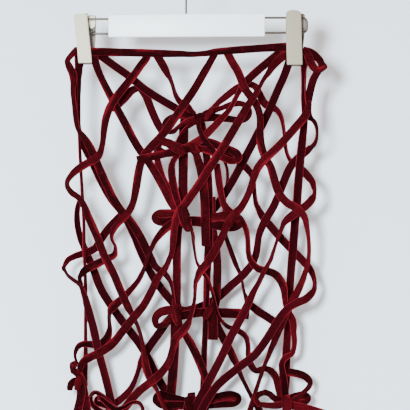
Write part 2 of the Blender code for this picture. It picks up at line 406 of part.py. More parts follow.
class Strip:
    """One ribbon as sections, with the fine places between them that the pile tests."""

    def __init__(self, ribbon):
        self.ribbon = ribbon
        self.sections = sections_of(ribbon)
        steps = np.diff(self.sections[:, :2], axis=0)
        spans = np.hypot(steps[:, 0], steps[:, 1])
        self.reach = np.concatenate([[0.0], np.cumsum(spans)])
        directions = np.vstack([steps[:1], steps[:-1] + steps[1:], steps[-1:]])
        directions /= np.linalg.norm(directions, axis=1)[:, None]
        self.across = np.stack([-directions[:, 1], directions[:, 0]], axis=1)
        count = max(int(self.reach[-1] / FINE_STEP), 2)
        self.fine_reach = np.linspace(0.0, self.reach[-1], count)
        self.height = np.zeros(len(self.sections))
        # Corners of the strip at each section: in the plane, and out of it.
        half = ribbon.width / 2 * np.cos(self.sections[:, 2])
        self.plane_half = half * np.cos(self.sections[:, 2])
        self.lift_half = half * np.sin(self.sections[:, 2])

    def between(self, values):
        return np.interp(self.fine_reach, self.reach, values)

    def footprint(self):
        """For each fine place, the points across the ribbon with the lift of each."""
        x = self.between(self.sections[:, 0])
        z = self.between(self.sections[:, 1])
        across_x, across_z = self.between(self.across[:, 0]), self.between(self.across[:, 1])
        half, lift = self.between(self.plane_half), self.between(self.lift_half)
        wall = RIBBON_WALL / 2 * half_depth(half, lift)
        reach = half + EDGE_MARGIN
        offsets = np.linspace(-1.0, 1.0, PLACES_ACROSS)[None, :] * reach[:, None]
        shares = np.clip(offsets / half[:, None], -1.0, 1.0)
        x = x[:, None] + across_x[:, None] * offsets
        z = z[:, None] + across_z[:, None] * offsets
        columns, rows = cells(x, z)
        return columns, rows, shares * lift[:, None], wall[:, None]


def half_depth(half, lift):
    """How much a turned wall's depth grows over its thickness."""
    return np.minimum(np.hypot(half, lift) / half, DEEPEST_WALL)


def cells(x, z):
    columns = np.clip(((x - MAP_LEFT) / CELL).astype(int), 0, int((MAP_RIGHT - MAP_LEFT) / CELL) - 1)
    rows = np.clip(((z - MAP_LOW) / CELL).astype(int), 0, int((MAP_HIGH - MAP_LOW) / CELL) - 1)
    return columns, rows


class Pile:
    """One layer of the flat tube: how far out from the middle plane its cloth reaches."""

    def __init__(self):
        shape = int((MAP_HIGH - MAP_LOW) / CELL), int((MAP_RIGHT - MAP_LEFT) / CELL)
        heights = MAP_LOW + CELL * (np.arange(shape[0]) + 0.5)
        self.top = np.repeat(half_gap(heights)[:, None], shape[1], axis=1)

    def lay(self, strip):
        columns, rows, lifts, wall = strip.footprint()
        needed = (self.top[rows, columns] - lifts + wall + LAY_GAP).max(axis=1)
        heights = settle(strip, needed)
        for _ in range(SETTLE_ROUNDS):
            heights = settle(strip, np.maximum(needed, self.over_itself(strip, heights)))
        heights = heights - strip.ribbon.press
        strip.height = heights
        tops = strip.between(heights)[:, None] + lifts + wall
        np.maximum.at(self.top, (rows, columns), tops)

    def over_itself(self, strip, heights):
        """What a strip needs where it crosses a part of itself that was laid before."""
        columns, rows, lifts, wall = strip.footprint()
        own = np.zeros_like(self.top)
        centre = strip.between(heights)[:, None]
        needed = np.zeros(len(centre))
        laid = 0
        for i, reach in enumerate(strip.fine_reach):
            while strip.fine_reach[laid] < reach - SELF_CLEAR:
                place_ = rows[laid], columns[laid]
                np.maximum.at(own, place_, (centre[laid] + lifts[laid] + wall[laid]))
                laid += 1
            found = own[rows[i], columns[i]]
            if found.any():
                needed[i] = (found - lifts[i] + wall[i] + LAY_GAP)[found > 0].max()
        return needed

    def reach_over(self, left, right, high, low):
        """How far out the pile reaches inside a rectangle."""
        columns, rows = cells(np.array([left, right]), np.array([low, high]))
        return self.top[rows[0]:rows[1] + 1, columns[0]:columns[1] + 1].max()


def settle(strip, needed):
    """Heights of the sections, on or over what the fine places need, without steps."""
    count = len(strip.reach)
    upper = np.zeros(count)
    for k in range(count):
        low = strip.reach[max(k - 1, 0)]
        high = strip.reach[min(k + 1, count - 1)]
        upper[k] = needed[(strip.fine_reach >= low - CELL) & (strip.fine_reach <= high + CELL)].max()
    padded = np.pad(upper, 1, mode="edge")
    return np.maximum(upper, (padded[:-2] + 2 * padded[1:-1] + padded[2:]) / 4)


def wrap_ends(strip):
    """Brings the end that goes round the tube's side in to the middle plane."""
    for end in strip.ribbon.wraps.split():
        order = range(len(strip.reach)) if end == "start" else range(len(strip.reach) - 1, -1, -1)
        start = strip.reach[order[0]]
        for k in order:
            share = min(abs(strip.reach[k] - start) / WRAP_LENGTH, 1.0)
            strip.height[k] *= share * share * (3 - 2 * share)


def ribbon_mesh(strip, outward):
    """The open strip of a ribbon, from its sections; its wall comes from Solidify."""
    mesh = bpy.data.meshes.new(strip.ribbon.name)
    shape = bmesh.new()
    rails = []
    for section, across, height, half, lift in zip(
            strip.sections, strip.across, strip.height, strip.plane_half, strip.lift_half):
        pair = []
        for side in (-1, 1):
            x = section[0] + side * half * across[0]
            z = section[1] + side * half * across[1]
            y = outward * (height + side * lift)
            pair.append(shape.verts.new((x, y, z)))
        rails.append(pair)
    if strip.ribbon.wraps:
        trim_seam(strip, rails)
    for (a, b), (c, d) in zip(rails, rails[1:]):
        shape.faces.new((a, b, d, c))
    shape.to_mesh(mesh)
    shape.free()
    return mesh


def trim_seam(strip, rails):
    """Shortens a wrapped end by half of the seam's gap, so the two halves nearly meet."""
    order = (0, 1) if "start" in strip.ribbon.wraps else (-1, -2)
    for end, inner in zip(rails[order[0]], rails[order[1]]):
        end.co += (inner.co - end.co).normalized() * SEAM_TRIM


def add_ribbon(strip, outward, collection):
    made = add_object(strip.ribbon.name, ribbon_mesh(strip, outward), collection, VELVET)
    wall = made.modifiers.new("wall", "SOLIDIFY")
    wall.thickness = RIBBON_WALL
    wall.offset = 0.0
    wall.use_even_offset = False
    return made


def add_box(name, low, high, edge, finish, collection):
    """A box with rounded edges between two corners."""
    mesh = bpy.data.meshes.new(name)
    shape = bmesh.new()
    bmesh.ops.create_cube(shape, size=1.0)
    size = Vector(high) - Vector(low)
    bmesh.ops.transform(shape, matrix=Matrix.Diagonal((*size, 1.0)), verts=shape.verts)
    bmesh.ops.translate(shape, vec=(Vector(high) + Vector(low)) / 2, verts=shape.verts)
    shape.to_mesh(mesh)
    shape.free()
    made = add_object(name, mesh, collection, finish)
    bevel = made.modifiers.new("edge", "BEVEL")
    bevel.width = edge
    bevel.segments = 2
    return made


def add_wire(name, points, radius, collection):
    curve = bpy.data.curves.new(name, "CURVE")
    curve.dimensions = "3D"
    curve.bevel_depth = radius
    curve.bevel_resolution = 2
    curve.use_fill_caps = True
    wire = curve.splines.new("POLY")
    wire.points.add(len(points) - 1)
    for point, spot in zip(wire.points, points):
        point.co = (*spot, 1.0)
    return add_object(name, curve, collection, WIRE_METAL)


def add_hook(collection):
    bar_top = place(0, BAR_TOP)[1]
    centre = Vector((0.0, 0.0, WIRE_RADIUS - HOOK_RADIUS))
    points = [Vector((0.0, 0.0, bar_top + SEAM_GAP))]
    bend_top = centre + HOOK_RADIUS * Vector((math.cos(HOOK_START), 0.0, math.sin(HOOK_START)))
    bend_low = Vector((0.0, 0.0, bend_top.z - STEM_BEND_DROP))
    tangent = Vector((-math.sin(HOOK_START), 0.0, math.cos(HOOK_START)))
    handle = bend_top - tangent * STEM_BEND_DROP * STEM_BEND_EASE
    knee = bend_low + Vector((0.0, 0.0, STEM_BEND_DROP * STEM_BEND_EASE))
    for i in range(STEM_BEND_STEPS):
        t = i / STEM_BEND_STEPS
        low_part = bend_low * (1 - t) ** 3 + knee * 3 * t * (1 - t) ** 2
        points.append(low_part + handle * 3 * t * t * (1 - t) + bend_top * t ** 3)
    for i in range(HOOK_STEPS + 1):
        angle = HOOK_START + (HOOK_END - HOOK_START) * i / HOOK_STEPS
        points.append(centre + HOOK_RADIUS * Vector((math.cos(angle), 0.0, math.sin(angle))))
    add_wire("hook", points, WIRE_RADIUS, collection)


def add_clip(clip, front, back, collection):
    """The clip's two plates, the hinge block between them, and the rail that it rides on."""
    top_x, top_z = place(clip.top_across, clip.top_down)
    low_x, low_z = place(clip.bottom_across, clip.bottom_down)
    lean = math.atan2(low_x - top_x, top_z - low_z)
    half = PLATE_WIDTH * GRID / 2
    shift = clip.back_across * GRID
    jaw_z = place(0, CLIP_JAW_ROW)[1]
    left, right = min(top_x, low_x) - half, max(top_x, low_x) + half
    front_face = front.reach_over(left, right, jaw_z, low_z) + SEAM_GAP
    back_face = back.reach_over(left + shift, right + shift, jaw_z, low_z) + SEAM_GAP
    middle = Vector(((top_x + low_x) / 2, 0.0, (top_z + low_z) / 2))
    length = math.hypot(low_x - top_x, top_z - low_z)
    for part, aside, inner, outer in (
            ("front", 0.0, -front_face, -front_face - PLATE_THICK),
            ("back", shift, back_face, back_face + PLATE_THICK)):
        low = (-half, min(inner, outer), -length / 2)
        high = (half, max(inner, outer), length / 2)
        plate = add_box(f"{clip.side}_clip_{part}", low, high, PLATE_ROUND, GREY_PLASTIC, collection)
        where = Matrix.Translation(middle + Vector((aside, 0.0, 0.0)))
        plate.data.transform(where @ Matrix.Rotation(-lean, 4, "Y"))
    hinge_x, rail_top = place(clip.hinge_across, clip.rail_top)
    rail_low = place(0, clip.rail_bottom)[1]
    add_box(
        f"{clip.side}_clip_hinge",
        (hinge_x - HINGE_WIDTH / 2, -front_face + SEAM_GAP, rail_low + RAIL_RADIUS + SEAM_GAP),
        (hinge_x + HINGE_WIDTH / 2, back_face - SEAM_GAP, rail_top - RAIL_RADIUS - SEAM_GAP),
        HINGE_ROUND, GREY_PLASTIC, collection)
    add_rail(clip, collection)


def add_rail(clip, collection):
    """A hairpin of wire that leaves the bar's end, turns back outside the clip and returns."""
    start, top = place(clip.rail_from, clip.rail_top)
    end, low = place(clip.rail_to, clip.rail_bottom)
    radius = (top - low) / 2
    outward = math.copysign(1.0, end - start)
    points = [(start, top)]
    for i in range(RAIL_BEND_STEPS + 1):
        angle = math.pi / 2 - math.pi * i / RAIL_BEND_STEPS
        across = end - outward * radius + outward * radius * math.cos(angle)
        points.append((across, (top + low) / 2 + radius * math.sin(angle)))
    points.append((start, low))
    add_wire(f"{clip.side}_rail", [Vector((x, 0.0, z)) for x, z in points], RAIL_RADIUS, collection)


def add_bar(collection):
    left, low = place(BAR_LEFT, BAR_BOTTOM)
    right, high = place(BAR_RIGHT, BAR_TOP)
    add_box("bar", (left, -BAR_THICK / 2, low), (right, BAR_THICK / 2, high), BAR_ROUND, WHITE_PLASTIC, collection)


def main():
    for old in list(bpy.data.objects):
        bpy.data.objects.remove(old)
    collection = bpy.data.collections.new(OBJECT_NAME)
    bpy.context.scene.collection.children.link(collection)
    front, back = Pile(), Pile()
    for pile, ribbons, outward in ((front, FRONT, -1), (back, BACK, 1)):
        for ribbon in ribbons:
            strip = Strip(ribbon)
            pile.lay(strip)
            wrap_ends(strip)
            add_ribbon(strip, outward, collection)
    add_bar(collection)
    add_hook(collection)
    for clip in CLIPS:
        add_clip(clip, front, back, collection)


main()
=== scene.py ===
"""The looks of an open net skirt of velvet ribbon on a clip hanger.

Every ribbon is swept along the sections of its solid: its middle line is smoothed, and a
closed section of its real width is bent round wherever the solid is narrower than that.
"""

import functools
import itertools
import math
from collections import namedtuple

import bmesh
import bpy
import numpy as np
from bpy.props import FloatProperty, FloatVectorProperty, IntProperty, PointerProperty
from bpy.types import Operator, Panel, PropertyGroup
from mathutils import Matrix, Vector


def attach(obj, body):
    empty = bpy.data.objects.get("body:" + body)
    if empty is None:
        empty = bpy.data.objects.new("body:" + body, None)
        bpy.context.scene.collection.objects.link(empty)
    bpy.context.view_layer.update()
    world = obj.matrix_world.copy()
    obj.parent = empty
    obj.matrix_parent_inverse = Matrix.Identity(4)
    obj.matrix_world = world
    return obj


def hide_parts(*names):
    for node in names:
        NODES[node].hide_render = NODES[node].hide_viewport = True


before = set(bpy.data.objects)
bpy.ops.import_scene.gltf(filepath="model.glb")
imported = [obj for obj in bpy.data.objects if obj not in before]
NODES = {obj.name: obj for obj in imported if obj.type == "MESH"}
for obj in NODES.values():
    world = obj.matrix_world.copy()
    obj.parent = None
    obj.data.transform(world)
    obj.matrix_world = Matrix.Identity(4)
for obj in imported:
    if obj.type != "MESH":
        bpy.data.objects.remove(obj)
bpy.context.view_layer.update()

bl_info = {
    "name": "Ribbon Skirt",
    "version": (1, 0, 0),
    "blender": (4, 5, 0),
    "location": "View3D > Sidebar > Ribbon Skirt",
    "description": "Makes a net skirt of velvet ribbon that hangs on a clip hanger",
    "category": "Add Mesh",
}

BODY = "root"

# The drafting grid that the solids are drawn on.
GRID = 0.00145
CENTRE_COLUMN = 186.0
HOOK_ROW = -38.0

# Rows and columns of the grid.
HEM_ROW = 405
STEM_ROW = 14.5
WAIST_TURN = 301.0
BLOCK_ROWS = (19.8, 31.0)
SPRING_ROW = 31.4
LEAF_TOP = 14.6
DARKER_TOP_ROW, DARKER_TOP_ROWS = 42, 28.0

# Depths, gaps and other lengths in metres.
BLOCK_NEAR, BLOCK_GAP = -0.0008, 0.0002
SPRING_DEPTH, SPRING_BACK, SPRING_LEG, SPRING_FOOT = -0.0057, 0.009, 0.013, 0.002
LEAF_WALL = 0.001
# How tall the painted shade along a clip's foot is.
FOOT_SHADE = 0.0012
KNOT_GAP = 0.0012
SAME_PLACE = 1e-5
FRONT_LAYER = 0.01
ROOM, FLOOR_FRONT = 3.0, -4.0
WINDOW, WINDOW_AIM = (-0.5, -2.5, -0.05), (0.0, 0.0, -0.35)

# A ribbon's chord is at least and at most this share of its width; below the share for a fold it
# turns back on itself.
CHORD_SHARES = (0.3, 0.9999)
FOLD_SHARE, FOLD_EASE = 0.88, 0.14
# How wide a ribbon is where it turns round the side, where it is tied and at a knot's ends and middle.
TURN_SHARE, TIED_SHARES = 0.7, (0.9, 0.6)
KNOT_END, KNOT_SWELL = 0.72, 0.28
# How much more uneven a knot is, and the painted sheen on the pile besides each row's own: where the
# ribbon leans towards the light, where it turns edge-on, and a chance tone of dye for each ribbon.
GATHERS = 4.0
SHEEN_LEAN, SHEEN_TURNED, DYE_LOT = 0.2, 0.5, 0.16

# Steps across a lever's face, along one span of a curve and round a wire, and the sharpest angle
# that is still shaded smooth.
CROWN_SHARES = (0.15, 0.32, 0.5, 0.68, 0.85)
SPAN_STEPS = 24
WIRE_POINTS = 16
SHARP = math.radians(50)
# How many corners of a solid are tried as the start of its sections.
CORNERS_TRIED = 12
# Width of the camera's sensor in millimetres.
SENSOR = 36.0

# The first solids of the runs that are made from the broad ribbon.
BROAD = {
    "left_opening_edge", "bow_3_loops", "bow_2_tail", "bow_4_loops", "bow_4_tail", "bow_3_knot",
    "bow_4_knot", "middle_hem_loops", "middle_hem_knot", "left_hem_knot", "left_hem_tail",
    "right_hem_tail", "right_hem_knot", "right_side",
}

# One ribbon for each row: the solids that it runs through, in order, which way it cups, and how much
# painted sheen its pile gets at even steps from its start to its end.
Route = namedtuple("Route", "nodes cup lit", defaults=(1, (0.12,)))
FRONT_ROUTES = (
    ("right_opening_edge", 1, (0.5, 0.15, -0.35)), ("middle_edge", -1, (0.35, 0.15, 0.1, -0.3, -0.2)),
    ("left_opening_edge", 1, (-0.35, 0.2, 0.2, -0.05, -0.7)), ("slant_inner", -1, (0.45,)),
    ("slant_left", 1, (0.15, -0.1, 0.15, 0.7)), ("slant_top", -1, (0.25,)),
    ("left_fall", 1, (0.35, 0.2, 0.2, 0.3, 0.1)), ("right_fall", -1, (0.65, 0.45, 0.15, 0.75, -0.35)),
    ("slant_middle", 1, (0.0, 0.05, 0.1, 0.2, -0.5)), ("clip_slant", -1, (-0.2, 0.65)),
    ("slant_lower", 1, (-0.5, -0.42, 0.4)), ("long_right", 1, (0.62, 0.05, 0.88, 0.02, -0.02)),
    ("cross_left", 1, (-0.2, 0.15, 0.22, 0.25, 0.3)), ("cross_right", 1, (0.0, 0.3, 0.12, 0.1, 0.2)),
    ("cross_long", 1, (0.05, 0.08, 0.3, 0.15, -0.22)),
)
BACK_ROUTES = (
    ("right_side", 1, (0.35, 0.2, 0.15, 0.45, 0.55)), ("left_side", -1, (-0.1, 1.1, 0.6)),
    ("back_slant_left", 1, (0.2,)), ("back_slant_right", 1, (-0.1, -0.15, -0.1, 0.1)),
    ("back_cross_long", -1, (0.2, 0.0, 0.3, -0.35, 0.75)), ("back_left_fall", 1, (0.6, -0.1, 0.5)),
    ("back_thin_fall", -1, (0.2, 0.3)), ("back_lower_slant", 1, (-0.35, 0.2, -0.3, 0.1)),
    ("back_short_slant", -1, (0.65,)), ("right_top_fold", -1, (0.5,)),
)
ROUND_ROUTES = (
    ("back_top_loop fall_to_middle_hem", 1, (0.7, 0.8, 0.38, 0.26, 0.32, -0.3)),
    ("back_left_turn left_return", 1, (0.0, 0.0, 0.18, 0.27, -0.12)),
    ("back_right_turn front_return", 1, (0.15, 0.45, 0.8, 0.3, 0.2, 0.12)),
)
BOW_ROUTES = (
    ("bow_1_loops", 1, (0.25,)), ("bow_2_loops", -1, (0.3,)), ("bow_2_tail", 1, (0.12, 0.05)),
    ("bow_3_loops", 1, (0.3,)), ("bow_3_tail", -1, (-0.2, -0.05, -0.85)), ("bow_3_knot",),
    ("bow_4_loops", 1, (0.3,)), ("bow_4_tail", 1, (0.0,)), ("bow_4_knot",),
    ("middle_hem_loops", 1, (-0.55,)), ("middle_hem_knot", 1, (0.0,)), ("left_hem_knot",),
    ("left_hem_tail", 1, (0.02,)), ("left_hem_loop", -1, (-0.9,)), ("right_hem_loops", 1, (0.3,)),
    ("right_hem_tail", 1, (0.85,)), ("right_hem_knot", 1, (0.3,)),
)

# Where an end is led through to the other layer and caught there: grid places and depths in metres.
TIES = {
    ("ribbon_cross_right", "start"): [
        (307.6, 107.6, -0.0075), (308.8, 104.2, -0.001), (309.4, 101.6, 0.006), (309.4, 99.8, 0.0125)],
    ("ribbon_back_slant_left", "end"): [
        (194, 118.6, 0.0065), (196.6, 120.2, -0.0005), (198, 119.6, -0.0075)],
    ("ribbon_fall_to_middle_hem", "start"): [
        (199.4, 122.6, 0.0065), (199, 123, -0.0005), (199.6, 120.6, -0.0075)],
    ("ribbon_back_slant_right", "end"): [
        (202.6, 220.6, 0.0065), (201.2, 222.6, -0.0005), (201.4, 221, -0.008)],
    ("ribbon_back_short_slant", "start"): [
        (111.8, 109.6, 0.0065), (110.8, 109.8, 0.0), (111, 109, -0.0055)],
    ("ribbon_back_short_slant", "end"): [
        (161.4, 135, 0.0055), (159.6, 137, -0.001), (159, 137.6, -0.0075)],
    ("ribbon_left_side", "end"): [(84, 385, 0.0065), (83.4, 388, -0.001), (82.6, 387, -0.0085)],
    ("ribbon_right_side", "start"): [(303.6, 53.5, 0.0064), (303.4, 49, 0.0058)],
    ("ribbon_right_side", "end"): [(284.2, 402.6, 0.0065), (284.6, 405, -0.001), (285, 403.6, -0.0085)],
}

# One row for each knot: its middle, how it leans in degrees, its length and its chord in grid
# steps, how far it stands out in metres, its share of the ribbon's width and how much painted sheen its pile
# gets.
Knot = namedtuple("Knot", "name across down lean length chord bulge share lit")
KNOTS = (
    ("bow_1", 200.5, 118.5, 12, 10, 5.6, 0.0016, 0.85, 0.15),
    ("bow_1_side", 208.5, 115, -38, 12, 4.6, 0.0012, 0.85, 0.35),
    ("bow_2", 195, 149, 35, 12, 6.4, 0.0018, 0.95, 0.4),
    ("bow_2_end", 173.5, 146.5, 60, 27, 8.2, 0.0012, 1.05, 0.5),
    ("bow_3", 186, 214, 14, 16, 6.8, 0.0016, 0.95, 0.25),
    ("bow_3_right", 232, 218.5, -28, 16, 6.4, 0.0016, 0.95, 0.45),
    ("bow_4", 178.5, 312.5, 8, 14, 6.2, 0.0014, 0.95, 0.2),
    ("bow_4_right", 208, 310, -30, 15, 6, 0.0014, 0.9, 0.4),
    ("middle_hem", 189, 401, 10, 15, 7, 0.0016, 1.0, 0.1),
    ("left_hem", 79, 381, -12, 14, 6.4, 0.0016, 0.95, 0.6),
    ("right_hem", 287, 401, 0, 12, 6.4, 0.0016, 0.95, 0.6),
)

# Short runs of ribbon with no solid of their own: grid places, depths in metres and chords in grid
# steps, and how much painted sheen the pile gets.
Fold = namedtuple("Fold", "name nodes cup lit")
FOLDS = [
    Fold("right_top", [
        (303.8, 46.8, 0.0, 4.5), (306, 51.5, 0.0, 7), (308.4, 56, -0.0005, 8.2), (310.6, 61.5, -0.001, 8),
        (313.4, 66.4, -0.0015, 7.6), (317.4, 69.4, -0.0015, 6), (321.6, 68.4, 0.0005, 4.8),
        (325.4, 65.2, 0.008, 4.2), (323.6, 62, 0.0135, 3.8)], 1, (0.4, 0.4, 0.8, 0.7)),
    Fold("bow_1_tail", [
        (199.6, 119.5, -0.0312, 4.2), (198.6, 124, -0.0305, 4.2), (200, 131, -0.0295, 4.4),
        (204, 138.8, -0.0288, 4.4), (210, 146.6, -0.0282, 4.6), (216.4, 153.6, -0.0275, 4.6)], 1, (0.1,)),
]

# How deep a clip's lever is at its flanges, row by row, in front and behind.
FRONT_FLANGES = (
    0.0024, 0.0026, 0.003, 0.004, 0.0072, 0.0122, 0.0122, 0.0066, 0.0026, 0.0023, 0.0023, 0.0023,
    0.0023,
)
BACK_FLANGES = (
    0.0024, 0.0026, 0.003, 0.005, 0.009, 0.0124, 0.0124, 0.0066, 0.0026, 0.0023, 0.0023, 0.0023,
    0.0023,
)
# One row of a clip's lever: how far down it is, and its left and right edges.
LEFT_FRONT = [
    (13.9, 79.5, 83.5), (14.2, 77.2, 86.3), (14.9, 75.2, 87.3), (16.6, 74.2, 87.6), (21, 74.6, 88),
    (26, 75.2, 88.5), (32, 75.9, 89.1), (38, 76.5, 89.7), (42.4, 77, 90.2), (45, 77.2, 90.5),
    (55, 78.1, 91.6), (62, 78.7, 92.2), (63.1, 78.9, 92.1),
]
LEFT_BACK = [
    (13.6, 88.2, 92), (13.9, 85.4, 94.2), (14.7, 83, 95.2), (16.6, 82, 95.6), (22, 81.9, 95.5),
    (27, 81.8, 95.3), (32, 81.7, 95.1), (38, 81.5, 94.8), (42.4, 81.3, 94.5), (48, 81, 94.2),
    (56, 80.6, 93.6), (62, 80.4, 93.1), (63, 80.6, 92.9),
]
RIGHT_FRONT = [
    (10.3, 290.4, 294.8), (10.8, 288, 297.4), (12, 286.4, 299.6), (14, 285.6, 300.5),
    (20, 285.5, 300.8), (26, 285.5, 300.9), (32, 285.6, 301), (38, 285.7, 301.2),
    (42.4, 285.8, 301.3), (45, 285.8, 301.4), (55, 286.1, 301.7), (63.7, 286.4, 301.9),
    (64.9, 286.6, 301.8),
]
RIGHT_BACK = [
    (12, 293, 302.6), (12.3, 290.8, 304), (13.4, 289.4, 304.9), (15.4, 289, 305), (21, 289, 305),
    (27, 289, 304.9), (32, 289, 304.6), (38, 288.9, 304.2), (42.4, 288.8, 303.8),
    (48, 288.6, 303.4), (56, 288.4, 302.8), (63.6, 288.4, 302.4), (64.8, 288.6, 302.3),
]
# One clip: the rows of its levers, how far its inside is shifted down, the edges of its block and
# of its spring, its leaf (edges, foot, slope of the upper corner, depth, look) and its pin (ends,
# row, depth).
Clip = namedtuple("Clip", "side front back top block spring leaf pin")
CLIPS = [
    Clip("left", LEFT_FRONT, LEFT_BACK, 0.0, (80.6, 88), (78.6, 93.4),
         (83.2, 95.0, 27.4, 1.2, 0.0052, "tongue"), (84.4, 88.7, 14.1, -0.0108)),
    # The right clip's leaf takes the clip backs' darkened plastic, as painted shade.
    Clip("right", RIGHT_FRONT, RIGHT_BACK, -1.2, (289.6, 299.4), (288.2, 303.2),
         (290.4, 305.9, 31.2, 3.0, 0.0012, "inside"), (301.6, 305.0, 14.3, 0.0045)),
]
# One rail: where it leaves the bar, where it turns back, and its two runs down.
RAILS = [("left", 109.0, 76.8, 18.3, 33.0), ("right", 263.8, 307.0, 17.0, 32.0)]
BAR_CORNERS = [(108.2, 13.8), (264.6, 12.6), (264.6, 35.8), (108.2, 36.6)]


def metres(name, description, default):
    return FloatProperty(name=name, description=description, default=default, unit="LENGTH")


def paint(name, description, default):
    return FloatVectorProperty(name=name, description=description, default=default, subtype="COLOR", size=3)


def number(name, description, default):
    return FloatProperty(name=name, description=description, default=default)


class RibbonSizes(PropertyGroup):
    """Sizes of the ribbon as it is woven and cut."""

    width: metres("Width", "Width of the ribbon, laid flat", 0.0122)
    broad: metres("Broad width", "Width of the broad ribbon", 0.0147)
    wall: metres("Wall", "Thickness of the ribbon with its pile", 0.0011)
    step: metres("Step", "Length between two sections of the mesh", 0.0018)
    round_points: IntProperty(name="Points round", description="Points round one section", default=26, min=8)
    fold_radius: metres("Fold radius", "Radius of a lengthwise fold", 0.0009)
    spread: number("Spread", "How much wider the soft ribbon lies than its solid", 1.05)
    uneven: metres("Unevenness", "How far the pile wanders in and out", 0.00022)


class VelvetLooks(PropertyGroup):
    """Colours of the velvet, its woven edges and its back."""

    pile: paint("Pile", "Colour of the pile seen straight on", (0.0068, 0.0001, 0.0004))
    # This lighter colour serves the real streaks of stroked pile and the painted sheen alike.
    stroked_and_lit: paint("Stroked pile", "Colour where the pile lies the other way", (0.104, 0.0036, 0.0072))
    edge: paint("Woven edge", "Colour of the selvedge", (0.22, 0.014, 0.024))
    back: paint("Back", "Colour of the woven back", (0.013, 0.0003, 0.0011))
    sheen: paint("Sheen", "Colour of the light that the pile's tips catch", (0.85, 0.035, 0.05))


class HangerLooks(PropertyGroup):
    """Sizes and colours of the hanger."""

    lever_wall: metres("Lever wall", "Thickness of a clip's lever", 0.0022)
    lever_flange: metres("Flange wall", "Thickness of a lever's two flanges", 0.0012)
    lever_corner: metres("Lever corner", "Radius between a lever's face and flanges", 0.0014)
    lever_crown: metres("Lever crown", "How far a lever's face bulges in the middle", 0.0003)
    edge_round: metres("Edge round", "Radius of the finished edges", 0.0003)
    block_round: metres("Block round", "Radius of the edges of a clip's block", 0.0012)
    bar_round: metres("Bar round", "Radius of the bar's edges", 0.0014)
    bar_thick: metres("Bar thickness", "Thickness of the bar", 0.0065)
    hook_wire: metres("Hook wire", "Radius of the hook's wire", 0.00145)
    hook_radius: metres("Hook radius", "From the hook's middle to its wire's middle", 0.0205)
    rail_wire: metres("Rail wire", "Radius of the rails' wire", 0.0016)
    pin_wire: metres("Pin wire", "Radius of a clip's pin", 0.0009)
    spring_wire: metres("Spring wire", "Radius of the spring's wire", 0.00055)
    spring_radius: metres("Spring radius", "Radius of the spring's coil", 0.0036)
    bar: paint("Bar", "Colour of the bar", (0.83, 0.85, 0.87))
    clip: paint("Left clip", "Colour of the left clip's face", (0.545, 0.485, 0.36))
    # The right clip is a darker copy of the left clip's plastic: painted shade, as less light reaches it.
    shaded_clip: paint("Right clip", "Colour of the right clip's face", (0.295, 0.25, 0.172))
    # The clip backs are the clips' plastic darkened as painted shade inside the clips.
    inside: paint("Clip backs", "Colour of the clips' back levers", (0.19, 0.162, 0.125))
    tongue: paint("Leaf", "Colour of the leaf inside a clip", (0.7, 0.63, 0.5))
    wire: paint("Wire", "Colour of the hook and rails", (0.075, 0.055, 0.04))
    steel: paint("Steel", "Colour of the springs, blocks and pins", (0.12, 0.1, 0.085))


class StageSizes(PropertyGroup):
    """The room round the skirt, its light and its camera."""

    middle_across: number("Middle across", "Grid column in the middle of the view", 204.85)
    middle_down: number("Middle down", "Grid row in the middle of the view", 204.3)
    view_span: number("View span", "Grid steps across the view", 408.6)
    lens: FloatProperty(name="Lens", description="Focal length", default=160.0, unit="CAMERA")
    wall_gap: metres("Wall gap", "From the hook to the wall behind it", 0.2)
    wall_near: metres("Wall gap below", "From the middle of the hem to the wall behind it", 0.0305)
    wall_bend: number("Wall bend", "How late the wall leans away from the hem upwards", 1.25)
    floor: metres("Floor", "Height of the floor from the hook", -0.95)
    wall: paint("Wall", "Colour of the wall", (0.78, 0.81, 0.845))
    ground: paint("Ground", "Colour of the floor", (0.75, 0.745, 0.735))
    room: paint("Room light", "Colour of the even light", (1.0, 0.83, 0.77))
    room_strength: number("Room strength", "Strength of the even light", 0.98)
    window: paint("Window light", "Colour of the window's light", (0.845, 1.005, 1.11))
    window_size: metres("Window size", "How broad the window's light is", 0.42)
    window_power: number("Window power", "Power of the window's light in watts", 175.0)


# ---------------------------------------------------------------- node trees

def arithmetic(operation):
    """A method that feeds a socket and what it is joined with to a math node."""
    def method(self, *others):
        return self.tree.maths(operation, self, *others)
    return method


class Socket:
    """A node's output with arithmetic, in a shader tree or a geometry tree."""

    __add__ = __radd__ = arithmetic("ADD")
    __mul__ = __rmul__ = arithmetic("MULTIPLY")
    __sub__ = arithmetic("SUBTRACT")
    __truediv__ = arithmetic("DIVIDE")
    __pow__ = arithmetic("POWER")
    sin, cos, abs, sign, least, most = map(
        arithmetic, ("SINE", "COSINE", "ABSOLUTE", "SIGN", "MINIMUM", "MAXIMUM"))

    def __init__(self, tree, link):
        self.tree = tree
        self.link = link

    def __rsub__(self, other):
        return self.tree.maths("SUBTRACT", other, self)

    def held(self):
        """This value kept between 0 and 1."""
        return self.most(0.0).least(1.0)

    def between(self, other, share):
        """This value at share 0 and the other one at share 1."""
        return self + (other - self) * share

    def ramp(self, low, high):
        """0 at low, 1 at high, smooth between."""
        return self.tree.add("ShaderNodeMapRange", {"interpolation_type": "SMOOTHSTEP"},
                             {"Value": self, "From Min": low, "From Max": high})["Result"]


class Outputs:
    """A node's outputs by name or by place."""

    def __init__(self, tree, node):
        self.tree = tree
        self.node = node

    def __getitem__(self, key):
        return Socket(self.tree, self.node.outputs[key])


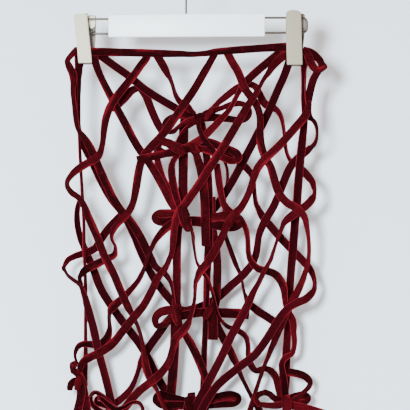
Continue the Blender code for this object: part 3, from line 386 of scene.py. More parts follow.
class Tree:
    """A node tree that nodes are added to from their settings and inputs."""

    def __init__(self, data):
        self.data = data

    def add(self, kind, settings=None, inputs=None):
        node = self.data.nodes.new(kind)
        for name, value in (settings or {}).items():
            setattr(node, name, value)
        self.feed(node, inputs or {})
        return Outputs(self, node)

    def feed(self, node, values):
        """Each value, a constant or another node's output, goes to the node's input of its key."""
        for key, value in values.items():
            if isinstance(value, Socket):
                self.data.links.new(value.link, node.inputs[key])
            else:
                node.inputs[key].default_value = value

    def maths(self, operation, *values):
        return self.add("ShaderNodeMath", {"operation": operation}, dict(enumerate(values)))[0]

    def mix(self, factor, first, second):
        """A colour between two colours."""
        return self.add("ShaderNodeMix", {"data_type": "RGBA"}, {0: factor, 6: first, 7: second})[2]

    def noise(self, where, scale, detail, fourth=None):
        """Noise of one value, which a fourth coordinate can move on."""
        inputs = {"Vector": where, "Scale": scale, "Detail": detail}
        if fourth is None:
            return self.add("ShaderNodeTexNoise", None, inputs)[0]
        return self.add("ShaderNodeTexNoise", {"noise_dimensions": "4D"}, {**inputs, "W": fourth})[0]

    def marked(self, name):
        """A number that the mesh carries."""
        return self.add("ShaderNodeAttribute", {"attribute_name": name})["Fac"]

    def stretched(self, where, *scale):
        return self.add("ShaderNodeMapping", None, {"Vector": where, "Scale": scale})[0]

    def bump(self, strength, distance, height):
        return self.add("ShaderNodeBump", None, {
            "Strength": strength, "Distance": distance, "Height": height})["Normal"]


def shader(name, constants):
    """A new material, its tree and its main shader, whose fixed values are set on its sockets."""
    made = bpy.data.materials.new(name)
    made.use_nodes = True
    tree, main = Tree(made.node_tree), made.node_tree.nodes["Principled BSDF"]
    tree.feed(main, constants)
    return made, tree, main


def colour(value, share=1.0):
    """A colour, dimmed to that share, with its alpha."""
    return (*(share * c for c in value), 1.0)


# ---------------------------------------------------------------- objects

def stand(name, data):
    """A new object of that data in the scene."""
    made = bpy.data.objects.new(name, data)
    bpy.context.scene.collection.objects.link(made)
    return made


def evaluated_mesh(made):
    """A plain mesh of the object with its modifiers applied."""
    bpy.context.view_layer.update()
    return bpy.data.meshes.new_from_object(made.evaluated_get(bpy.context.evaluated_depsgraph_get()))


# ---------------------------------------------------------------- the grid and the solids

def place(across, down):
    """X and Z of a place on the drafting grid."""
    return (across - CENTRE_COLUMN) * GRID, (HOOK_ROW - down) * GRID


def spots(rows):
    """Points in metres, from rows that begin with a grid column, a grid row and a depth."""
    return np.array([(*place(across, down), depth) for across, down, depth, *_ in rows])[:, [0, 2, 1]]


def apart(a, b):
    return np.linalg.norm(a - b)


def rows_from(near, points, start):
    """The mesh's points in rows of four, each next to the one before, from a row at an end.

    A row keeps the nearest four where an edge of the mesh jumps over a section.
    """
    seen = set(start)
    rows = [sorted(start)]
    jumps = 0
    while True:
        following = sorted(set().union(*(near[i] for i in rows[-1])) - seen)
        if not following:
            return rows, jumps
        if len(following) > 4:
            middle = points[rows[-1]].mean(axis=0)
            following = sorted(following, key=lambda i: apart(points[i], middle))[:4]
            jumps += 1
        rows.append(following)
        seen.update(following)


def solid_sections(name):
    """A ribbon solid's sections in order, each as the middles of its two edges."""
    shape = bmesh.new()
    shape.from_mesh(NODES[name].data)
    bmesh.ops.remove_doubles(shape, verts=shape.verts, dist=SAME_PLACE)
    points = np.array([v.co for v in shape.verts])
    shape.verts.index_update()
    near = [set() for _ in points]
    for edge in shape.edges:
        a, b = (v.index for v in edge.verts)
        near[a].add(b)
        near[b].add(a)
    shape.free()
    fewest = None
    for corner in sorted(range(len(points)), key=lambda i: len(near[i]))[:CORNERS_TRIED]:
        for others in itertools.combinations(sorted(near[corner]), 3):
            rows, jumps = rows_from(near, points, [corner, *others])
            whole = len(rows) * 4 == len(points) and all(len(row) == 4 for row in rows)
            if whole and (fewest is None or jumps < fewest[0]):
                fewest = jumps, rows
            if whole and not jumps:
                break
    if fewest is None:
        raise ValueError(f"{name} is not a strip of four-cornered sections")
    return paired([points[row] for row in fewest[1]])


def paired(corners):
    """The two edges of each section, on the same side all the way along."""
    edges = []
    for four in corners:
        choices = [((four[0], four[k]), [four[j] for j in (1, 2, 3) if j != k]) for k in (1, 2, 3)]
        nearest = min(choices, key=lambda pairs: sum(apart(*pair) for pair in pairs))
        left, right = ((a + b) / 2 for a, b in nearest)
        if edges:
            straight, crossed = (sum(map(apart, pair, edges[-1])) for pair in ((left, right), (right, left)))
            if crossed < straight:
                left, right = right, left
        edges.append((left, right))
    return np.array(edges)


def chained(names):
    """The middle line and the half width, as vectors, of solids that follow each other."""
    middles, halves = None, None
    for name in names.split():
        edges = solid_sections(name)
        middle, half = edges.mean(axis=1), (edges[:, 1] - edges[:, 0]) / 2
        if middles is None:
            middles, halves = middle, half
            continue
        if apart(middles[0], middle[0]) < apart(middles[-1], middle[0]):
            middles, halves = middles[::-1], halves[::-1]
        if apart(middles[-1], middle[-1]) < apart(middles[-1], middle[0]):
            middle, half = middle[::-1], half[::-1]
        if halves[-1][0] * half[0][0] + halves[-1][2] * half[0][2] < 0:
            half = -half
        # The ribbon turns round the side here, in one easy bend through the middle of both ends.
        bend, spread = (middles[-1] + middle[0]) / 2, (halves[-1] + half[0]) * TURN_SHARE
        middles = np.vstack([middles[:-1], bend, middle[1:]])
        halves = np.vstack([halves[:-1], spread, half[1:]])
    if middles[0][2] < middles[-1][2]:
        middles, halves = middles[::-1], halves[::-1]
    return middles, halves


def blend(s, start, end, first, last):
    """The first value at the start, the last one at the end, and even between and beyond."""
    return (end - s) / (end - start) * first + (s - start) / (end - start) * last


def smooth_line(points, values, step, closed=False):
    """Points and their values at even steps along a centripetal curve through the points."""
    if closed:
        points = np.vstack([points[-2:], points, points[:3]])
        values = np.vstack([values[-2:], values, values[:3]])
    gaps = np.maximum(np.linalg.norm(np.diff(points, axis=0), axis=1), SAME_PLACE) ** 0.5
    times = np.concatenate([[0.0], np.cumsum(gaps)])
    joined = np.hstack([points, values])
    padded = np.vstack([2 * joined[0] - joined[1], joined, 2 * joined[-1] - joined[-2]])
    padded[0, 3:], padded[-1, 3:] = joined[0, 3:], joined[-1, 3:]
    t = np.concatenate([[2 * times[0] - times[1]], times, [2 * times[-1] - times[-2]]])
    fine = []
    spans = range(2, len(points) - 3) if closed else range(len(points) - 1)
    for i in spans:
        t0, t1, t2, t3 = t[i:i + 4]
        for s in np.linspace(t1, t2, SPAN_STEPS, endpoint=False):
            a1, a2, a3 = (blend(s, t[k], t[k + 1], padded[k], padded[k + 1]) for k in range(i, i + 3))
            fine.append(blend(s, t1, t2, blend(s, t0, t2, a1, a2), blend(s, t1, t3, a2, a3)))
    if not closed:
        fine.append(joined[-1])
    fine = np.array(fine)
    if closed:
        fine = np.vstack([fine, fine[:1]])
    reach = np.concatenate([[0.0], np.cumsum(np.linalg.norm(np.diff(fine[:, :3], axis=0), axis=1))])
    wanted = np.linspace(0.0, reach[-1], max(int(reach[-1] / step), 4) + 1)
    even = np.stack([np.interp(wanted, reach, fine[:, k]) for k in range(fine.shape[1])], axis=1)
    return even[:, :3], even[:, 3:], wanted


CUP_ANGLES = np.linspace(0.02, 2.6, 260)
CUP_SHARES = np.sin(CUP_ANGLES) / CUP_ANGLES


def cup_angle(share):
    """Half the angle of the arc whose chord is that share of its length."""
    return np.interp(-share, -CUP_SHARES, CUP_ANGLES)


def unit(vectors):
    return vectors / np.maximum(np.linalg.norm(vectors, axis=1), 1e-9)[:, None]


# ---------------------------------------------------------------- ribbons

def sweep_tree(name, numbers):
    """A geometry tree for a sweep, its inputs and the curve along the rail that it is given."""
    data = bpy.data.node_groups.new(name, "GeometryNodeTree")
    for label, kind in (("Geometry", "Geometry"), *numbers, ("Material", "Material")):
        data.interface.new_socket(label, in_out="INPUT", socket_type="NodeSocket" + kind)
    data.interface.new_socket("Geometry", in_out="OUTPUT", socket_type="NodeSocketGeometry")
    tree = Tree(data)
    given = tree.add("NodeGroupInput")
    return tree, given, tree.add("GeometryNodeMeshToCurve", None, {"Mesh": given["Geometry"]})["Curve"]


def ring(tree, given, radius):
    return tree.add("GeometryNodeCurvePrimitiveCircle", {"mode": "RADIUS"},
                    {"Resolution": given["Points Round"], "Radius": radius})["Curve"]


def swept_mesh(tree, rail, profile):
    return tree.add("GeometryNodeCurveToMesh", None,
                    {"Curve": rail, "Profile Curve": profile, "Fill Caps": True})["Mesh"]


def finished(tree, given, swept):
    """The tree's data, once what it sweeps is smooth and real and has its material."""
    swept = tree.add("GeometryNodeSetShadeSmooth", None, {"Geometry": swept})[0]
    swept = tree.add("GeometryNodeRealizeInstances", None, {"Geometry": swept})[0]
    swept = tree.add("GeometryNodeSetMaterial", None, {"Geometry": swept, "Material": given["Material"]})[0]
    tree.add("NodeGroupOutput", None, {"Geometry": swept})
    return tree.data


def ribbon_tree():
    """Geometry nodes that sweep a ribbon's closed section along a rail of marked points."""
    tree, given, rail = sweep_tree("ribbon_sweep", (
        ("Width", "Float"), ("Wall", "Float"), ("Points Round", "Int"), ("Uneven", "Float"),
        ("Fold Radius", "Float"), ("Seed", "Float")))

    def stored(geometry, name, value, kind="FLOAT", domain="POINT"):
        return tree.add("GeometryNodeStoreNamedAttribute", {"data_type": kind, "domain": domain},
                        {"Geometry": geometry, "Name": name, "Value": value})["Geometry"]

    def read(name, kind="FLOAT"):
        return tree.add("GeometryNodeInputNamedAttribute", {"data_type": kind}, {"Name": name})["Attribute"]

    def vectors(operation, *values):
        """Vectors added, or one scaled by a number."""
        keys = (0, 3) if operation == "SCALE" else (0, 1)
        return tree.add("ShaderNodeVectorMath", {"operation": operation}, dict(zip(keys, values)))[0]

    position = tree.add("GeometryNodeInputPosition")["Position"]
    rail = stored(rail, "centre", position, "FLOAT_VECTOR")
    profile = ring(tree, given, 0.001)
    turn = tree.add("GeometryNodeInputIndex")["Index"] * (2 * math.pi) / given["Points Round"]
    swept = swept_mesh(tree, rail, stored(profile, "turn", turn))

    turn, cup = read("turn"), read("cup")
    aside, up = turn.cos(), turn.sin()
    wall_share = up.sign() * (up.abs() ** 0.36)
    bead = aside.abs().ramp(0.84, 0.93) * 0.22 + 1.0
    lift = wall_share * bead * given["Wall"] * 0.5
    half = given["Width"] * 0.5
    radius = half / cup
    bend = aside * cup
    # A cupped ribbon is an arc. A folded one lies flat, turns back in a hairpin and ends flat.
    cupped_out = radius * (bend.cos() - 1.0) + radius * (1.0 - cup.cos()) * 0.5
    fold, chord = given["Fold Radius"], read("chord")
    spare = ((given["Width"] - chord) / (fold * (math.pi - 1.0))).least(1.0)
    run, straight = aside * half, chord - half - fold * spare
    turned = ((run - straight) / fold).most(0.0).least(math.pi)
    folded_across = (run.least(straight) + fold * turned.sin()
                     - (run - straight - fold * math.pi).most(0.0) + (given["Width"] - chord) * 0.5)
    folded_out = fold * (turned.cos() - 1.0 + spare) * cup.sign()
    folded = read("folded")
    tilt = bend.between(turned * cup.sign(), folded)
    sway = tree.noise(read("centre", "FLOAT_VECTOR"), 46.0, 1.0, given["Seed"])
    ruffle = (sway - 0.5) * given["Uneven"] * aside * 3.0
    across = (radius * bend.sin()).between(folded_across, folded) + lift * tilt.sin()
    outward = cupped_out.between(folded_out, folded) + lift * tilt.cos() + ruffle
    moved = vectors("ADD", vectors("SCALE", read("across", "FLOAT_VECTOR"), across),
                    vectors("SCALE", read("facing", "FLOAT_VECTOR"), outward))
    swept = tree.add("GeometryNodeSetPosition", None, {
        "Geometry": swept, "Position": vectors("ADD", read("centre", "FLOAT_VECTOR"), moved)})["Geometry"]
    swept = stored(swept, "aside", aside)
    swept = stored(swept, "pile_side", up)
    flat = tree.add("ShaderNodeCombineXYZ", None, {"X": aside * given["Width"] * 0.5, "Y": read("along")})[0]
    return finished(tree, given, stored(swept, "weave", flat, "FLOAT2", "CORNER"))


def wire_tree():
    """Geometry nodes that sweep a round wire along a chain of points."""
    tree, given, rail = sweep_tree("wire_sweep", (("Radius", "Float"), ("Points Round", "Int")))
    return finished(tree, given, swept_mesh(tree, rail, ring(tree, given, given["Radius"])))


def made_with(tree, source, name, values):
    """The plain mesh object that a geometry tree makes from a mesh."""
    carrier = stand(name + "_rail", source)
    modifier = carrier.modifiers.new("shape", "NODES")
    modifier.node_group = tree
    sockets = {item.name: item.identifier for item in tree.interface.items_tree if item.in_out == "INPUT"}
    for key, value in values.items():
        modifier[sockets[key]] = value
    mesh = evaluated_mesh(carrier)
    bpy.data.objects.remove(carrier)
    bpy.data.meshes.remove(source)
    for attribute in ("centre", "across", "facing", "turn", "cup", "chord", "folded", "along"):
        if attribute in mesh.attributes:
            mesh.attributes.remove(mesh.attributes[attribute])
    mesh.name = name
    return stand(name, mesh)


def rail_mesh(name, middles, vectors, numbers):
    """A chain of points that carries a ribbon's directions and its cupping."""
    mesh = bpy.data.meshes.new(name + "_rail")
    mesh.from_pydata([tuple(p) for p in middles], [(i, i + 1) for i in range(len(middles) - 1)], [])
    for kind, field, given in (("FLOAT_VECTOR", "vector", vectors), ("FLOAT", "value", numbers)):
        for key, values in given.items():
            attribute = mesh.attributes.new(key, kind, "POINT")
            attribute.data.foreach_set(field, np.asarray(values, np.float32).ravel())
    return mesh


def sweep_ribbon(name, middles, halves, width, cup_sign, outward, lit, closed=False, gathered=False):
    """A ribbon of that width along sections given as middles and half widths.

    A gathered one bulges instead of folding where it has less room than its width.
    """
    sizes = bpy.context.scene.skirt_ribbon
    points, half, along = smooth_line(middles, halves, sizes.step, closed)
    tangent = unit(np.gradient(points, axis=0))
    half -= tangent * (half * tangent).sum(axis=1)[:, None]
    half *= sizes.spread
    across = unit(half)
    share = np.clip(2 * np.linalg.norm(half, axis=1) / width, *CHORD_SHARES)
    facing = unit(np.cross(tangent, across))
    first = facing[:max(len(facing) // 4, 2)].mean(axis=0)
    if first[1] * outward < 0:
        facing = -facing
    cup = cup_angle(share) * cup_sign
    folded = np.zeros(len(share)) if gathered else np.clip((FOLD_SHARE - share) / FOLD_EASE, 0.0, 1.0)
    folded = folded * folded * (3 - 2 * folded)
    seed = sum(name.encode()) % 97
    # The pile leans down the ribbon. Its colour gets painted sheen from the row's amounts, more where it
    # leans towards the light and where it turns edge-on, with a chance tone of dye for each ribbon.
    stroked_and_lit = np.interp(along / along[-1], np.linspace(0.0, 1.0, len(lit)), lit)
    turned = 1.0 - np.abs(facing[:, 1])
    nap = stroked_and_lit - SHEEN_LEAN * tangent[:, 0] + SHEEN_TURNED * turned + DYE_LOT * (seed / 48 - 1)
    mesh = rail_mesh(name, points, {"across": across, "facing": facing}, {
        "cup": cup, "chord": share * width, "folded": folded, "along": along, "nap": nap})
    made = made_with(trees()["ribbon"], mesh, name, {
        "Width": width, "Wall": sizes.wall, "Points Round": sizes.round_points,
        "Uneven": sizes.uneven * (GATHERS if gathered else 1.0), "Fold Radius": sizes.fold_radius,
        "Seed": float(seed), "Material": materials()["velvet"]})
    return made, along[-1]


def led_through(label, middles, halves):
    """A ribbon's sections with its tied ends added, which narrow as they are pulled tight."""
    for end, way in (("start", -1), ("end", 1)):
        if (label, end) in TIES:
            caught = spots(TIES[label, end])
            pulled = np.outer(np.linspace(*TIED_SHARES, len(caught)), halves[::way][-1])
            middles = np.vstack([middles[::way], caught])[::way]
            halves = np.vstack([halves[::way], pulled])[::way]
    return middles, halves


def add_ribbons(routes, outward):
    """The ribbon of each route, in place of its solids and attached to the body."""
    sizes = bpy.context.scene.skirt_ribbon
    for route in itertools.starmap(Route, routes):
        names = route.nodes.split()
        width = sizes.broad if names[0] in BROAD else sizes.width
        label = "ribbon_" + names[-1]
        middles, halves = led_through(label, *chained(route.nodes))
        made, length = sweep_ribbon(label, middles, halves, width, route.cup, outward, route.lit)
        dress_cloth(made, names)


def front_depth(points):
    """How far back the first thing in front of each point is, seen from the front."""
    scene, graph = bpy.context.scene, bpy.context.evaluated_depsgraph_get()
    depths = []
    for x, z in points:
        hit, spot, *_ = scene.ray_cast(graph, Vector((x, -1.0, z)), Vector((0.0, 1.0, 0.0)))
        if hit:
            depths.append(spot.y)
    return min(depths) if depths else 0.0


def add_knot(knot):
    """A short gathered band over the middle of a bow, clear of everything under it."""
    width = bpy.context.scene.skirt_ribbon.width * knot.share
    spot, lean = np.array(place(knot.across, knot.down)), math.radians(knot.lean)
    along, aside = np.array([math.sin(lean), -math.cos(lean)]), np.array([math.cos(lean), math.sin(lean)])
    reach, chord = knot.length * GRID / 2, knot.chord * GRID / 2
    shares = (-1.0, -0.5, 0.0, 0.5, 1.0)
    under = front_depth([spot + along * reach * t + aside * chord * s for t in shares for s in shares])
    middles, halves = [], []
    for t in np.linspace(-1.0, 1.0, 9):
        arch, (x, z) = 1 - t * t, spot + along * reach * t
        middles.append((x, under - KNOT_GAP - knot.bulge * arch, z))
        narrow = chord * (KNOT_END + KNOT_SWELL * arch)
        halves.append((aside[0] * narrow, 0.0, aside[1] * narrow))
    made, length = sweep_ribbon(
        "knot_" + knot.name, np.array(middles), np.array(halves), width, 1, -1, (knot.lit,), gathered=True)
    dress_cloth(made)


def add_fold(fold):
    """A short run of ribbon through its own places, spread at right angles to the way it runs."""
    width = bpy.context.scene.skirt_ribbon.width
    middles = spots(fold.nodes)
    run = unit(np.gradient(middles, axis=0) * (1.0, 0.0, 1.0))
    chords = np.array([chord for *_, chord in fold.nodes]) * GRID / 2
    halves = np.stack([run[:, 2], np.zeros(len(run)), -run[:, 0]], axis=1) * chords[:, None]
    made, length = sweep_ribbon("fold_" + fold.name, middles, halves, width, fold.cup, -1, fold.lit)
    dress_cloth(made)


def dress_cloth(made, names=()):
    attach(made, BODY)
    if names:
        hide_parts(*names)


# ---------------------------------------------------------------- the hanger

SLOTS = {"bar": "white_plastic", "wire": "wire_metal", "dark": "wire_metal",
         **dict.fromkeys(("left_clip", "right_clip", "inside", "tongue"), "grey_plastic")}


def looks_of():
    return bpy.context.scene.skirt_hanger


def dress_solid(made, names):
    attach(made, BODY)
    if names:
        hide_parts(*names)


def round_edges(made, radius):
    """The object's mesh with its sharp edges rounded."""
    bevel = made.modifiers.new("edges", "BEVEL")
    bevel.width, bevel.segments = radius, 3
    bevel.limit_method, bevel.angle_limit = "ANGLE", math.radians(40)
    plain, made.data = made.data, evaluated_mesh(made)
    made.modifiers.clear()
    bpy.data.meshes.remove(plain)
    made.data.name = made.name
    made.data.shade_smooth()
    made.data.set_sharp_from_angle(angle=SHARP)


def add_loft(name, rings, look, edge, *names):
    """A closed body through rings that have the same number of points, in place of those solids."""
    count, last = len(rings[0]), len(rings) - 1
    faces = [(r + i, r + (i + 1) % count, r + count + (i + 1) % count, r + count + i)
             for r in range(0, last * count, count) for i in range(count)]
    faces += [tuple(reversed(range(count))), tuple(range(last * count, (last + 1) * count))]
    mesh = bpy.data.meshes.new(name)
    mesh.from_pydata([point for ring in rings for point in ring], [], faces)
    shape = bmesh.new()
    shape.from_mesh(mesh)
    bmesh.ops.recalc_face_normals(shape, faces=shape.faces)
    shape.to_mesh(mesh)
    shape.free()
    mesh.materials.append(materials()[look])
    made = stand(name, mesh)
    round_edges(made, edge)
    dress_solid(made, names)


def add_wire(name, points, radius, look, *names):
    made = made_with(trees()["wire"], rail_mesh(name, points, {}, {}), name, {
        "Radius": radius, "Points Round": WIRE_POINTS, "Material": materials()[look]})
    made.data.set_sharp_from_angle(angle=SHARP)
    dress_solid(made, names)


def lever_ring(down, left, right, flange, face, inward):
    """One level section of a pressed lever: a crowned face, two rounded corners and two flanges."""
    looks = looks_of()
    (x0, z), (x1, _) = place(left, down), place(right, down)
    corner, wall, side = looks.lever_corner, looks.lever_wall, looks.lever_flange
    bends = [(corner * (1 - math.cos(a)), corner * (1 - math.sin(a)))
             for a in (math.pi / 8 * i for i in range(5))]
    path = [(x0, flange)] + [(x0 + x, depth) for x, depth in bends]
    for share in CROWN_SHARES:
        path.append((x0 + (x1 - x0) * share, -looks.lever_crown * 4 * share * (1 - share)))
    path += [(x1 - x, depth) for x, depth in reversed(bends)]
    path += [(x1, flange), (x1 - side, flange), (x1 - side, wall), (x0 + side, wall), (x0 + side, flange)]
    return [(x, face + inward * depth, z) for x, depth in path]


def flat_rings(spots, near, far):
    """An outline of grid places at two depths."""
    return [[(x, depth, z) for x, z in (place(*spot) for spot in spots)] for depth in (near, far)]


def depths_of(name):
    """The nearest and the farthest depth of a solid."""
    depths = [v.co.y for v in NODES[name].data.vertices]
    return min(depths), max(depths)


def add_clip(clip):
    """A clip: two pressed levers, the block that rides the rails, a spring, a leaf and a pin."""
    looks, side = looks_of(), clip.side
    front_face, back_face = depths_of(side + "_clip_front")[0], depths_of(side + "_clip_back")[1]
    # The back lever takes the clip backs' darkened plastic, as painted shade.
    for part, rows, flanges, face, inward, look in (
            ("front", clip.front, FRONT_FLANGES, front_face, 1, side + "_clip"),
            ("back", clip.back, BACK_FLANGES, back_face, -1, "inside")):
        rings = [lever_ring(*row, flange, face, inward) for row, flange in zip(rows, flanges)]
        add_loft(f"{side}_{part}_lever", rings, look, looks.edge_round, f"{side}_clip_{part}")
    # The block is dark steel, and its darkness also stands in as painted shade between the levers.
    near, far = BLOCK_NEAR, back_face - looks.lever_wall - BLOCK_GAP
    top, low = (place(0, row + clip.top)[1] for row in BLOCK_ROWS)
    ends = [[(x, near, low), (x, far, low), (x, far, top), (x, near, top)]
            for x, _ in (place(across, 0) for across in clip.block)]
    add_loft(side + "_rail_block", ends, "dark", looks.block_round, side + "_clip_hinge")
    add_spring(clip, front_face + looks.lever_wall + looks.spring_wire)
    add_leaf(clip)
    left, right, row, depth = clip.pin
    add_wire(side + "_pin", spots([(left, row, depth), (right, row, depth)]), looks.pin_wire, "dark")


def add_spring(clip, near):
    """A coil across the clip in front of the rails, with one leg up each lever."""
    (left, row), (right, _) = (place(across, SPRING_ROW + clip.top) for across in clip.spring)
    turns, steps, radius = 9, 22, looks_of().spring_radius
    points = [(left, near, row + SPRING_LEG)]
    for i in range(turns * steps + 1):
        angle = math.pi + 2 * math.pi * i / steps
        points.append((left + (right - left) * i / (turns * steps), SPRING_DEPTH + radius * math.cos(angle),
                       row + radius * math.sin(angle)))
    points.append((right, SPRING_BACK, row + SPRING_FOOT))
    add_wire(clip.side + "_spring", points, looks_of().spring_wire, "dark")


def add_leaf(clip):
    """A leaf that stands inside the back lever, rounded at its foot."""
    left, right, foot, slope, near, look = clip.leaf
    top, reach, drop, steps = LEAF_TOP + clip.top, 3.6, 5.0, 12
    outline = [(left, top + 1.6), (left + 1.2, top), (right - slope, top), (right, top + slope * 1.33)]
    for i in range(steps + 1):
        angle = math.pi * i / steps
        outline.append((right - reach + reach * math.cos(angle), foot - drop + drop * math.sin(angle)))
    outline.append((left, foot - drop))
    add_loft(clip.side + "_tongue", flat_rings(outline, near, near + LEAF_WALL), look, looks_of().edge_round)


def add_rail(side, start, end, top, low):
    """A hairpin of wire that leaves the bar's end, turns back outside the clip and returns."""
    (x0, z0), (x1, z1) = place(start, top), place(end, low)
    radius, steps, square = (z0 - z1) / 2, 36, 0.6
    outward = math.copysign(1.0, x1 - x0)
    points = [(x0, 0.0, z0)]
    for i in range(steps + 1):
        angle = math.pi / 2 - math.pi * i / steps
        reach = max(math.cos(angle), 0.0) ** square
        rise = math.copysign(abs(math.sin(angle)) ** square, math.sin(angle))
        points.append((x1 - outward * radius * (1 - reach), 0.0, (z0 + z1) / 2 + radius * rise))
    points.append((x0, 0.0, z1))
    add_wire(side + "_rail_wire", points, looks_of().rail_wire, "wire", side + "_rail")


def add_hook():
    """A ring of wire that is open at one side, on a stem that is bent under it."""
    looks = looks_of()
    radius, start, end, drop, ease = looks.hook_radius, math.radians(-52), math.radians(212), 0.013, 0.55
    bends, steps = 14, 48
    middle = looks.hook_wire - radius
    high = Vector((radius * math.cos(start), 0.0, middle + radius * math.sin(start)))
    low = Vector((0.0, 0.0, high.z - drop))
    handle = high + Vector((math.sin(start), 0.0, -math.cos(start))) * drop * ease
    knee = low + Vector((0.0, 0.0, drop * ease))
    points = [(0.0, 0.0, place(0, STEM_ROW)[1])]
    for t in (i / bends for i in range(bends)):
        points.append(tuple(low * (1 - t) ** 3 + knee * 3 * t * (1 - t) ** 2 + handle * 3 * t * t * (1 - t)
                            + high * t ** 3))
    for i in range(steps + 1):
        angle = start + (end - start) * i / steps
        points.append((radius * math.cos(angle), 0.0, middle + radius * math.sin(angle)))
    add_wire("hook_wire", points, looks.hook_wire, "wire", "hook")


def add_bar():
    looks = looks_of()
    half = looks.bar_thick / 2
    add_loft("hanger_bar", flat_rings(BAR_CORNERS, -half, half), "bar", looks.bar_round, "bar")


# ---------------------------------------------------------------- materials

@functools.cache
def trees():
    """The geometry trees, each made once."""
    return {"ribbon": ribbon_tree(), "wire": wire_tree()}


@functools.cache
def materials():
    """The materials by look, each made once."""
    looks = looks_of()
    return {
        "velvet": velvet_material(), "bar": bar_material(),
        "wire": wire_material("drawn_wire", looks.wire, 0.34),
        "left_clip": clip_material("satin_left_clip", looks.clip, LEFT_FRONT[-1][0]),
        # The right clip's darker tint is painted shade.
        "right_clip": clip_material("satin_right_clip", looks.shaded_clip, RIGHT_FRONT[-1][0]),
        # The clip backs' darker tint is painted shade.
        "inside": clip_material("dull_clip_back", looks.inside),
        "tongue": clip_material("cream_leaf", looks.tongue),
        "dark": wire_material("dark_steel", looks.steel, 0.45)}


def velvet_material():
    looks = bpy.context.scene.skirt_velvet
    made, tree, main = shader("burgundy_velvet", {
        "Roughness": 0.85, "Sheen Weight": 0.15, "Sheen Roughness": 0.3,
        "Sheen Tint": colour(looks.sheen), "Specular IOR Level": 0.025})
    where = tree.add("ShaderNodeTexCoord")["Object"]
    weave = tree.add("ShaderNodeUVMap", {"uv_map": "weave"})["UV"]
    aside, side, nap = (tree.marked(name) for name in ("aside", "pile_side", "nap"))
    # The pile lies in long strokes down the ribbon, crushed here and there.
    along, moved = tree.stretched(weave, 1.0, 0.14, 1.0), tree.noise(where, 14.0, 0.0) * 9.0
    strokes = tree.noise(along, 260.0, 2.0, moved)
    crush = tree.noise(where, 130.0, 2.0)
    grain = tree.noise(where, 1900.0, 1.0)
    # Painted shading across the width: one side of each ribbon lighter, the other darker, swapping sides
    # along it.
    lit_side = (aside * (tree.noise(where, 22.0, 0.0) - 0.5) * 4.0).ramp(0.1, 0.7)
    # Small flecks, where single tufts of pile part.
    flecks = tree.noise(where, 430.0, 1.0) - 0.5
    streaks = strokes.ramp(0.38, 0.75)
    # The pile is painted lighter where it is streaked and crushed, and by painted sheen and shading from the
    # rows' amounts and the lit side.
    stroked_and_lit = streaks * 0.38 + crush.ramp(0.5, 0.74) * 0.17 + lit_side * 0.6 + nap * 0.5 - 0.115
    stroked_and_lit = (stroked_and_lit + flecks * 0.42).held()
    pile = tree.mix(stroked_and_lit, colour(looks.pile), colour(looks.stroked_and_lit))
    # The woven back is painted lighter mostly by the same painted sheen and side shading, a little by the
    # streaks and flecks.
    mottle = (streaks * 0.1 + nap * 0.42 + lit_side * 0.15 + flecks * 0.3 - 0.09).held()
    back = tree.mix(mottle, colour(looks.back), colour(looks.stroked_and_lit))
    cloth = tree.mix(side.ramp(-0.15, 0.15), back, pile)
    selvedge = aside.abs().ramp(0.89, 0.95) * (strokes.ramp(0.3, 0.65) * 0.6 + grain * 0.3 + 0.15)
    cloth = tree.mix(selvedge, cloth, colour(looks.edge))
    tree.feed(main, {"Base Color": cloth, "Normal": tree.bump(0.35, 0.0004, grain + crush * 0.8)})
    return made


def bar_material():
    looks = looks_of()
    made, tree, main = shader("white_bar_plastic", {"Roughness": 0.38, "Specular IOR Level": 0.4})
    where = tree.add("ShaderNodeTexCoord")["Object"]
    cloudy, grain = tree.noise(where, 30.0, 3.0), tree.noise(where, 900.0, 2.0)
    tree.feed(main, {
        "Base Color": tree.mix(cloudy, colour(looks.bar, 0.96), colour(looks.bar)),
        "Roughness": grain * 0.12 + 0.32, "Normal": tree.bump(0.08, 0.0002, grain)})
    return made


def clip_material(name, tint, foot_row=None):
    """Brushed plastic with slight wear; painted shade darkens the edge at the foot when its row is given."""
    made, tree, main = shader(name, {"Roughness": 0.5, "Specular IOR Level": 0.14})
    where = tree.add("ShaderNodeTexCoord")["Object"]
    brushed = tree.noise(tree.stretched(where, 1.0, 1.0, 0.05), 700.0, 2.0)
    mottle = tree.noise(where, 90.0, 3.0)
    height = tree.add("ShaderNodeSeparateXYZ", None, {"Vector": where})["Z"]
    # The upper half is a little darker, more so towards the top.
    pressed = ((height - place(0, DARKER_TOP_ROW)[1]) * (1.0 / (DARKER_TOP_ROWS * GRID))).held()
    face = tree.mix(brushed * 0.6 + mottle * 0.4, colour(tint, 0.88), colour(tint))
    face = tree.mix(pressed * 0.6, face, colour(tint, 0.84))
    if foot_row:
        # Painted shade: a dark band along the foot, where the bottom edge is in shadow.
        foot_shade = ((height - (place(0, foot_row)[1] + FOOT_SHADE / 2)) * (-1.0 / FOOT_SHADE) + 1.0).held()
        face = tree.mix(foot_shade * 0.75, face, colour(tint, 0.3))
    tree.feed(main, {"Base Color": face, "Roughness": brushed * 0.18 + mottle * 0.1 + 0.4,
                     "Normal": tree.bump(0.06, 0.0002, brushed)})
    return made


def wire_material(name, tint, rough):
    made, tree, main = shader(name, {"Metallic": 0.75, "Roughness": rough})
    where = tree.add("ShaderNodeTexCoord")["Object"]
    tarnish = tree.noise(where, 160.0, 3.0)
    tree.feed(main, {"Base Color": tree.mix(tarnish.ramp(0.35, 0.7), colour(tint), colour(tint, 0.6)),
                     "Roughness": tarnish * 0.25 + (rough - 0.12)})
    return made


